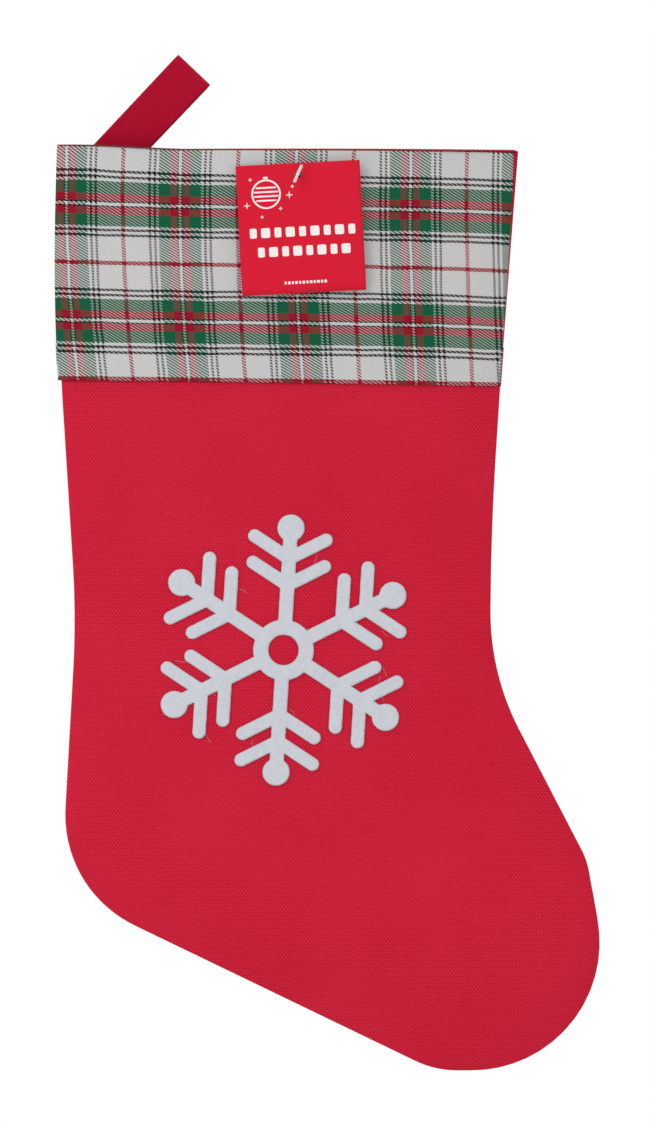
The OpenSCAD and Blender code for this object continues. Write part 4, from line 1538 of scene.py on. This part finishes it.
@dataclass
class SwingTag:
    """The card tag: printed red in front and plain behind, with white marks.

    Marks are placed in millimetres right of and above the hole. Each row is its height there, its
    two sides, its blocks' height and their number; each stripe its height in the bauble and its
    width; the cap its height over the bauble's middle, width and thickness; each spark its place
    and size.
    """

    plan: Plan
    width: float = 58.0
    height: float = 60.8
    card_t: float = 0.5
    hole_r: float = 1.6
    hole_in: float = 5.2
    turn: float = 3.0
    bow: float = 0.35
    ink_t: float = 0.03
    ink_sunk: float = 0.2
    rows: tuple[tuple[float, float, float, float, int], ...] = (
        (-26.7, -25.2, 26.6, 4.6, 9), (-35.7, -21.8, 23.4, 4.6, 8), (-50.5, -9.3, 11.1, 1.3, 12))
    bauble: tuple[float, float] = (-15.4, -8.6)
    bauble_r: float = 6.9
    line_w: float = 0.8
    cap: tuple[float, float, float] = (7.6, 2.2, 1.0)
    stripes: tuple[tuple[float, float], ...] = ((3.0, 9.6), (1.0, 11.6), (-1.0, 11.6), (-3.0, 9.6))
    sparks: tuple[tuple[float, float, float], ...] = (
        (-4.6, -9.5, 1.0), (-24.6, -13.6, 0.9), (-17.8, -19.2, 0.5), (-9.0, -15.6, 0.5),
        (-22.5, -1.6, 0.5), (-3.0, -5.6, 0.5))
    spark_l: float = 3.4
    spark_w: float = 0.5

    def __post_init__(self) -> None:
        """Takes the hole's place and the card's face from the frame."""
        pin = self.plan.from_frame((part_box("tag_pin")[0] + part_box("tag_pin")[1]) / 2.0)
        self.pin = (float(pin[0]), float(pin[2]))
        self.face = -float(self.plan.from_frame(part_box("hang_tag")[0])[1])

    def lay(self, x: Grid, z: Grid, raised: Grid | float = 0.0) -> Grid:
        """Places points of the card, turned about its hole.

        Args:
            x, z: Distance right of and above the hole.
            raised: Distance in front of the card's face.

        Returns:
            Points of the plan.
        """
        turn = math.radians(self.turn)
        sink = self.bow * (2.0 * x / self.width) ** 2 * np.clip(-z / self.height, 0.0, 1.0)
        out = self.face - sink + raised
        return xyz(self.pin[0] + x * math.cos(turn) - z * math.sin(turn), -out,
                   self.pin[1] + x * math.sin(turn) + z * math.cos(turn))

    def card(self) -> bpy.types.Object:
        """Makes the card: rings of points from the hole's edge out to the rectangle's edge.

        Returns:
            The card's object.
        """
        left, right = -self.width / 2.0, self.width / 2.0
        low, high = self.hole_in - self.height, self.hole_in
        s = np.linspace(0.0, 1.0, 40, endpoint=False)
        still, x_run, z_run = np.ones_like(s), (right - left) * s, (high - low) * s
        edge_x = np.concatenate([left * still, left + x_run, right * still, right - x_run])
        edge_z = np.concatenate([high - z_run, low * still, low + z_run, high * still])
        angle = np.arctan2(edge_z, edge_x)
        share = (np.linspace(0.0, 1.0, 28) ** 1.6)[:, None]
        x = self.hole_r * np.cos(angle) * (1 - share) + edge_x * share
        z = self.hole_r * np.sin(angle) * (1 - share) + edge_z * share
        patch = Patch.grid(self.lay(x, z)[::-1], Side.BACK, around=True)
        piece = self.plan.build("tag_card", patch, self.card_t)
        wall = piece.modifiers[0]
        wall.material_offset = wall.material_offset_rim = 1
        settle(piece, "hang_tag", "printed_card", "hang_tag")
        return piece

    def block(self, x: float, z: float, width: float, height: float, power: float = 0.34) -> Patch:
        """Makes one flat mark on a superellipse: rings that shrink to its middle.

        Args:
            x, z: The mark's middle.
            width, height: Its size.
            power: How round it is: 1 for an ellipse, less for a block with rounded corners.

        Returns:
            The mark, its edge sunk into the card.
        """
        turn = np.linspace(0.0, 2.0 * math.pi, 28, endpoint=False)
        shape = [np.sign(f) * np.abs(f) ** power for f in (np.cos(turn), np.sin(turn))]
        share = np.array([1.0, 1.0, 0.55, 0.02])[:, None]
        raised = np.array([-self.ink_sunk, self.ink_t, self.ink_t, self.ink_t])[:, None]
        points = self.lay(x + width / 2.0 * shape[0] * share, z + height / 2.0 * shape[1] * share, raised)
        return Patch.grid(points, Side.BACK, around=True)

    def row(self, z: float, left: float, right: float, height: float, count: int) -> list[Patch]:
        """Makes a row of plain blocks between two sides, by turns narrow and wide.

        Args:
            z: The row's height over the hole.
            left, right: Its two sides.
            height: The blocks' height.
            count: How many blocks.

        Returns:
            The blocks.
        """
        pitch = (right - left) / count
        middles = left + pitch * (np.arange(count) + 0.5)
        widths = pitch * np.where(np.arange(count) % 2, 0.74, 0.56)
        return [self.block(x, z, width, height) for x, width in zip(middles.tolist(), widths.tolist())]

    def marks(self) -> bpy.types.Object:
        """Makes the white marks: two title rows, a small row and a plain bauble with sparks.

        Returns:
            The marks' object.
        """
        patches = [block for row in self.rows for block in self.row(*row)]
        turn = np.linspace(0.0, 2.0 * math.pi, 48, endpoint=False)
        x, z = self.bauble
        radius = self.bauble_r - self.line_w * np.array([0.0, 0.0, 1.0, 1.0])[:, None]
        raised = np.array([-self.ink_sunk, self.ink_t, self.ink_t, -self.ink_sunk])[:, None]
        hoop = self.lay(x + radius * np.cos(turn), z + radius * np.sin(turn), raised)
        patches.append(Patch.grid(hoop, Side.BACK, around=True))
        patches += [self.block(x, z + up, width, self.line_w) for up, width in self.stripes]
        patches.append(self.block(x, z + self.cap[0], *self.cap[1:]))
        for x, z, size in self.sparks:
            patches += [self.block(x, z, self.spark_l * size, self.spark_w, 1.0),
                        self.block(x, z, self.spark_w, self.spark_l * size, 1.0)]
        piece = self.plan.build("tag_marks", Patch.joined(patches), smooth=False)
        settle(piece, "hang_tag", "printed_card")
        return piece

    def make(self, finishes: "Finishes") -> None:
        """Builds and dresses the pieces.

        Args:
            finishes: The materials.
        """
        card = self.card()
        for ink in (finishes.card_red, finishes.card_white):
            card.data.materials.append(ink)
        self.marks().data.materials.append(finishes.card_white)


@dataclass
class TagPin:
    """The plastic tag pin: crossbar inside, filament through the cloth and the card, paddle in front."""

    plan: Plan
    filament_r: float = 0.4
    crossbar_r: float = 0.6
    paddle_w: float = 1.6
    paddle_l: float = 9.0
    paddle_t: float = 1.2
    paddle_lean: float = 24.0
    blunt: float = 0.02

    def pin(self) -> bpy.types.Object:
        """Makes the pin from three swept bars: the filament, the crossbar and the flat paddle.

        Returns:
            The pin's object.
        """
        low, high = (self.plan.from_frame(corner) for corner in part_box("tag_pin"))
        x, z = (low[0] + high[0]) / 2.0, (low[2] + high[2]) / 2.0
        front, back = low[1] + self.paddle_t / 2.0, high[1] - self.crossbar_r
        y = back + (front - back) * np.linspace(0.0, 1.0, 15)
        filament = sweep(xyz(x, y, z), np.full(len(y), self.filament_r), 12)
        reach = (high[0] - low[0]) / 2.0 - 0.01
        along = reach * np.sin(np.linspace(-math.pi / 2, math.pi / 2, 21))
        thick = self.crossbar_r * rounding(reach - np.abs(along) + self.blunt, self.crossbar_r)
        crossbar = sweep(xyz(x + along, back, z), thick, 14)
        half = self.paddle_l / 2.0
        run = half * np.sin(np.linspace(-math.pi / 2, math.pi / 2, 31))
        lean = math.radians(self.paddle_lean)
        wide = self.paddle_w / 2.0 * rounding(half - np.abs(run) + self.blunt, self.paddle_w / 2.0)
        wide = wide * (0.85 + 0.15 * np.cos(2.0 * math.pi * run / self.paddle_l) ** 2)
        paddle = sweep(xyz(x + run * math.sin(lean), front, z + run * math.cos(lean)), wide, 18,
                       flat=self.paddle_t / self.paddle_w)
        piece = self.plan.build("clear_tag_pin", Patch.joined([filament, crossbar, paddle]))
        settle(piece, "tag_pin", "clear_pin", "tag_pin")
        return piece

    def make(self, finishes: "Finishes") -> None:
        """Builds and dresses the pin."""
        self.pin().data.materials.append(finishes.plastic)


# ---------------------------------------------------------------- finishes of the whole

@dataclass
class Finishes:
    """All the materials, each built once."""

    canvas: bpy.types.Material = field(default_factory=Canvas().material)
    cuff_cloth: bpy.types.Material = field(default_factory=Canvas(
        "red cuff cloth", shade=(150, 8, 30), knot_highlight=(184, 36, 56), knot_w=1.2, rows_h=1.6).material)
    lining: bpy.types.Material = field(default_factory=Weave(
        "red lining", (86, 10, 24), (118, 18, 36)).material)
    thread: bpy.types.Material = field(default_factory=Weave(
        "red thread", (140, 8, 30), (190, 26, 52), pitch=0.3, roughness=0.6).material)
    plaid: bpy.types.Material = field(default_factory=Plaid().material)
    felt: bpy.types.Material = field(default_factory=Felt().material)
    ribbon: bpy.types.Material = field(default_factory=Ribbed().material)
    card_red: bpy.types.Material = field(default_factory=Print("card red ink", (197, 22, 46), 0.6).material)
    card_white: bpy.types.Material = field(default_factory=Print(
        "card white", (226, 218, 216), 0.7).material)
    glue: bpy.types.Material = field(default_factory=Clear("clear glue", (226, 190, 190), 0.4).material)
    plastic: bpy.types.Material = field(default_factory=Clear(
        "clear plastic", (238, 232, 232), 0.45).material)


def dress_hidden_threads(finishes: Finishes) -> None:
    """Gives the CAD's own hidden threads their finish.

    Args:
        finishes: The materials.
    """
    for name in ("lining_seam_thread", "rim_thread"):
        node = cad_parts[name]
        node.data.materials.clear()
        node.data.materials.append(finishes.thread)


# ---------------------------------------------------------------- stage

@dataclass
class Stage:
    """The floor, the lights and the camera; the view and its middle are millimetres of the plan."""

    plan: Plan
    view_h: float = 527.8
    middle: tuple[float, float] = (126.7, -193.5)
    lens: float = 250.0
    film: float = 36.0
    floor_drop: float = 250.0
    floor_size: float = 2.2
    world: float = 1.0
    far: float = 40.0

    def floor(self) -> None:
        """Makes a plain pale floor below the stocking."""
        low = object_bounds()[0]
        half = self.floor_size / 2.0
        s = np.linspace(-half, half, 9)
        x, y = np.meshgrid(s, s)
        z = np.full_like(x, low[2] - self.floor_drop * MM)
        mesh = bpy.data.meshes.new("pale_floor")
        patch = Patch.grid(np.stack([x + self.plan.shift.x, y, z], axis=-1), Side.BACK)
        mesh.from_pydata(patch.points.tolist(), [], patch.faces)
        floor = bpy.data.objects.new("pale_floor", mesh)
        bpy.context.scene.collection.objects.link(floor)
        floor.data.materials.append(Print("pale floor", (236, 236, 236), 0.9).material())
        floor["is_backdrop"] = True

    def light(self, name: str, place: tuple[float, float, float], size: float, power: float) -> None:
        """Hangs a square soft light that faces the stocking's middle.

        Args:
            name: The light's name.
            place: Its place in metres from the view's middle.
            size: Its side in metres.
            power: Its power in watts.
        """
        lamp = bpy.data.lights.new(name, "AREA")
        lamp.size, lamp.energy = size, power
        holder = bpy.data.objects.new(name, lamp)
        bpy.context.scene.collection.objects.link(holder)
        target = Vector(self.plan.to_frame(np.array([self.middle[0], 0.0, self.middle[1]])))
        holder.location = target + Vector(place)
        holder.rotation_euler = Vector(place).to_track_quat("Z", "Y").to_euler()

    def camera(self) -> None:
        """Sets the camera square to the front, far enough for the view's height."""
        view = bpy.data.cameras.new("camera")
        view.lens, view.sensor_width, view.sensor_fit = self.lens, self.film, "AUTO"
        view.clip_end = self.far
        holder = bpy.data.objects.new("camera", view)
        bpy.context.scene.collection.objects.link(holder)
        distance = self.lens * self.view_h / self.film
        holder.location = self.plan.to_frame(np.array([self.middle[0], -distance, self.middle[1]])).tolist()
        holder.rotation_euler = (math.pi / 2.0, 0.0, 0.0)
        bpy.context.scene.camera = holder

    def make(self) -> None:
        """Sets the whole stage."""
        self.camera()
        self.floor()
        world = bpy.data.worlds.new("white room")
        world.use_nodes = True
        sky = world.node_tree.nodes["Background"].inputs
        sky["Color"].default_value = (1.0, 1.0, 1.0, 1.0)
        sky["Strength"].default_value = self.world
        bpy.context.scene.world = world
        self.light("key light", (-1.2, -1.4, 1.1), size=0.9, power=12.0)
        self.light("fill light", (1.3, -1.6, 0.2), size=1.4, power=1.0)
        self.light("back light", (0.4, 1.6, 0.9), size=1.4, power=4.0)
        bpy.context.scene.view_settings.view_transform = "Standard"


# ---------------------------------------------------------------- main


def main() -> None:
    """Builds every sub-assembly in order and reports it."""
    logging.basicConfig(level=logging.INFO, format="%(message)s")
    plan, form, finishes = Plan(), Form(), Finishes()
    stage = Stage(plan)
    stage.make()
    for assembly in (HangingLoop(plan, form), Body(plan, form), Lining(plan, form), Cuff(plan, form),
                     Snowflake(plan, form), SwingTag(plan), TagPin(plan)):
        log.info("-- %s", type(assembly).__name__)
        assembly.make(finishes)
    dress_hidden_threads(finishes)


if __name__ == "__main__":
    main()
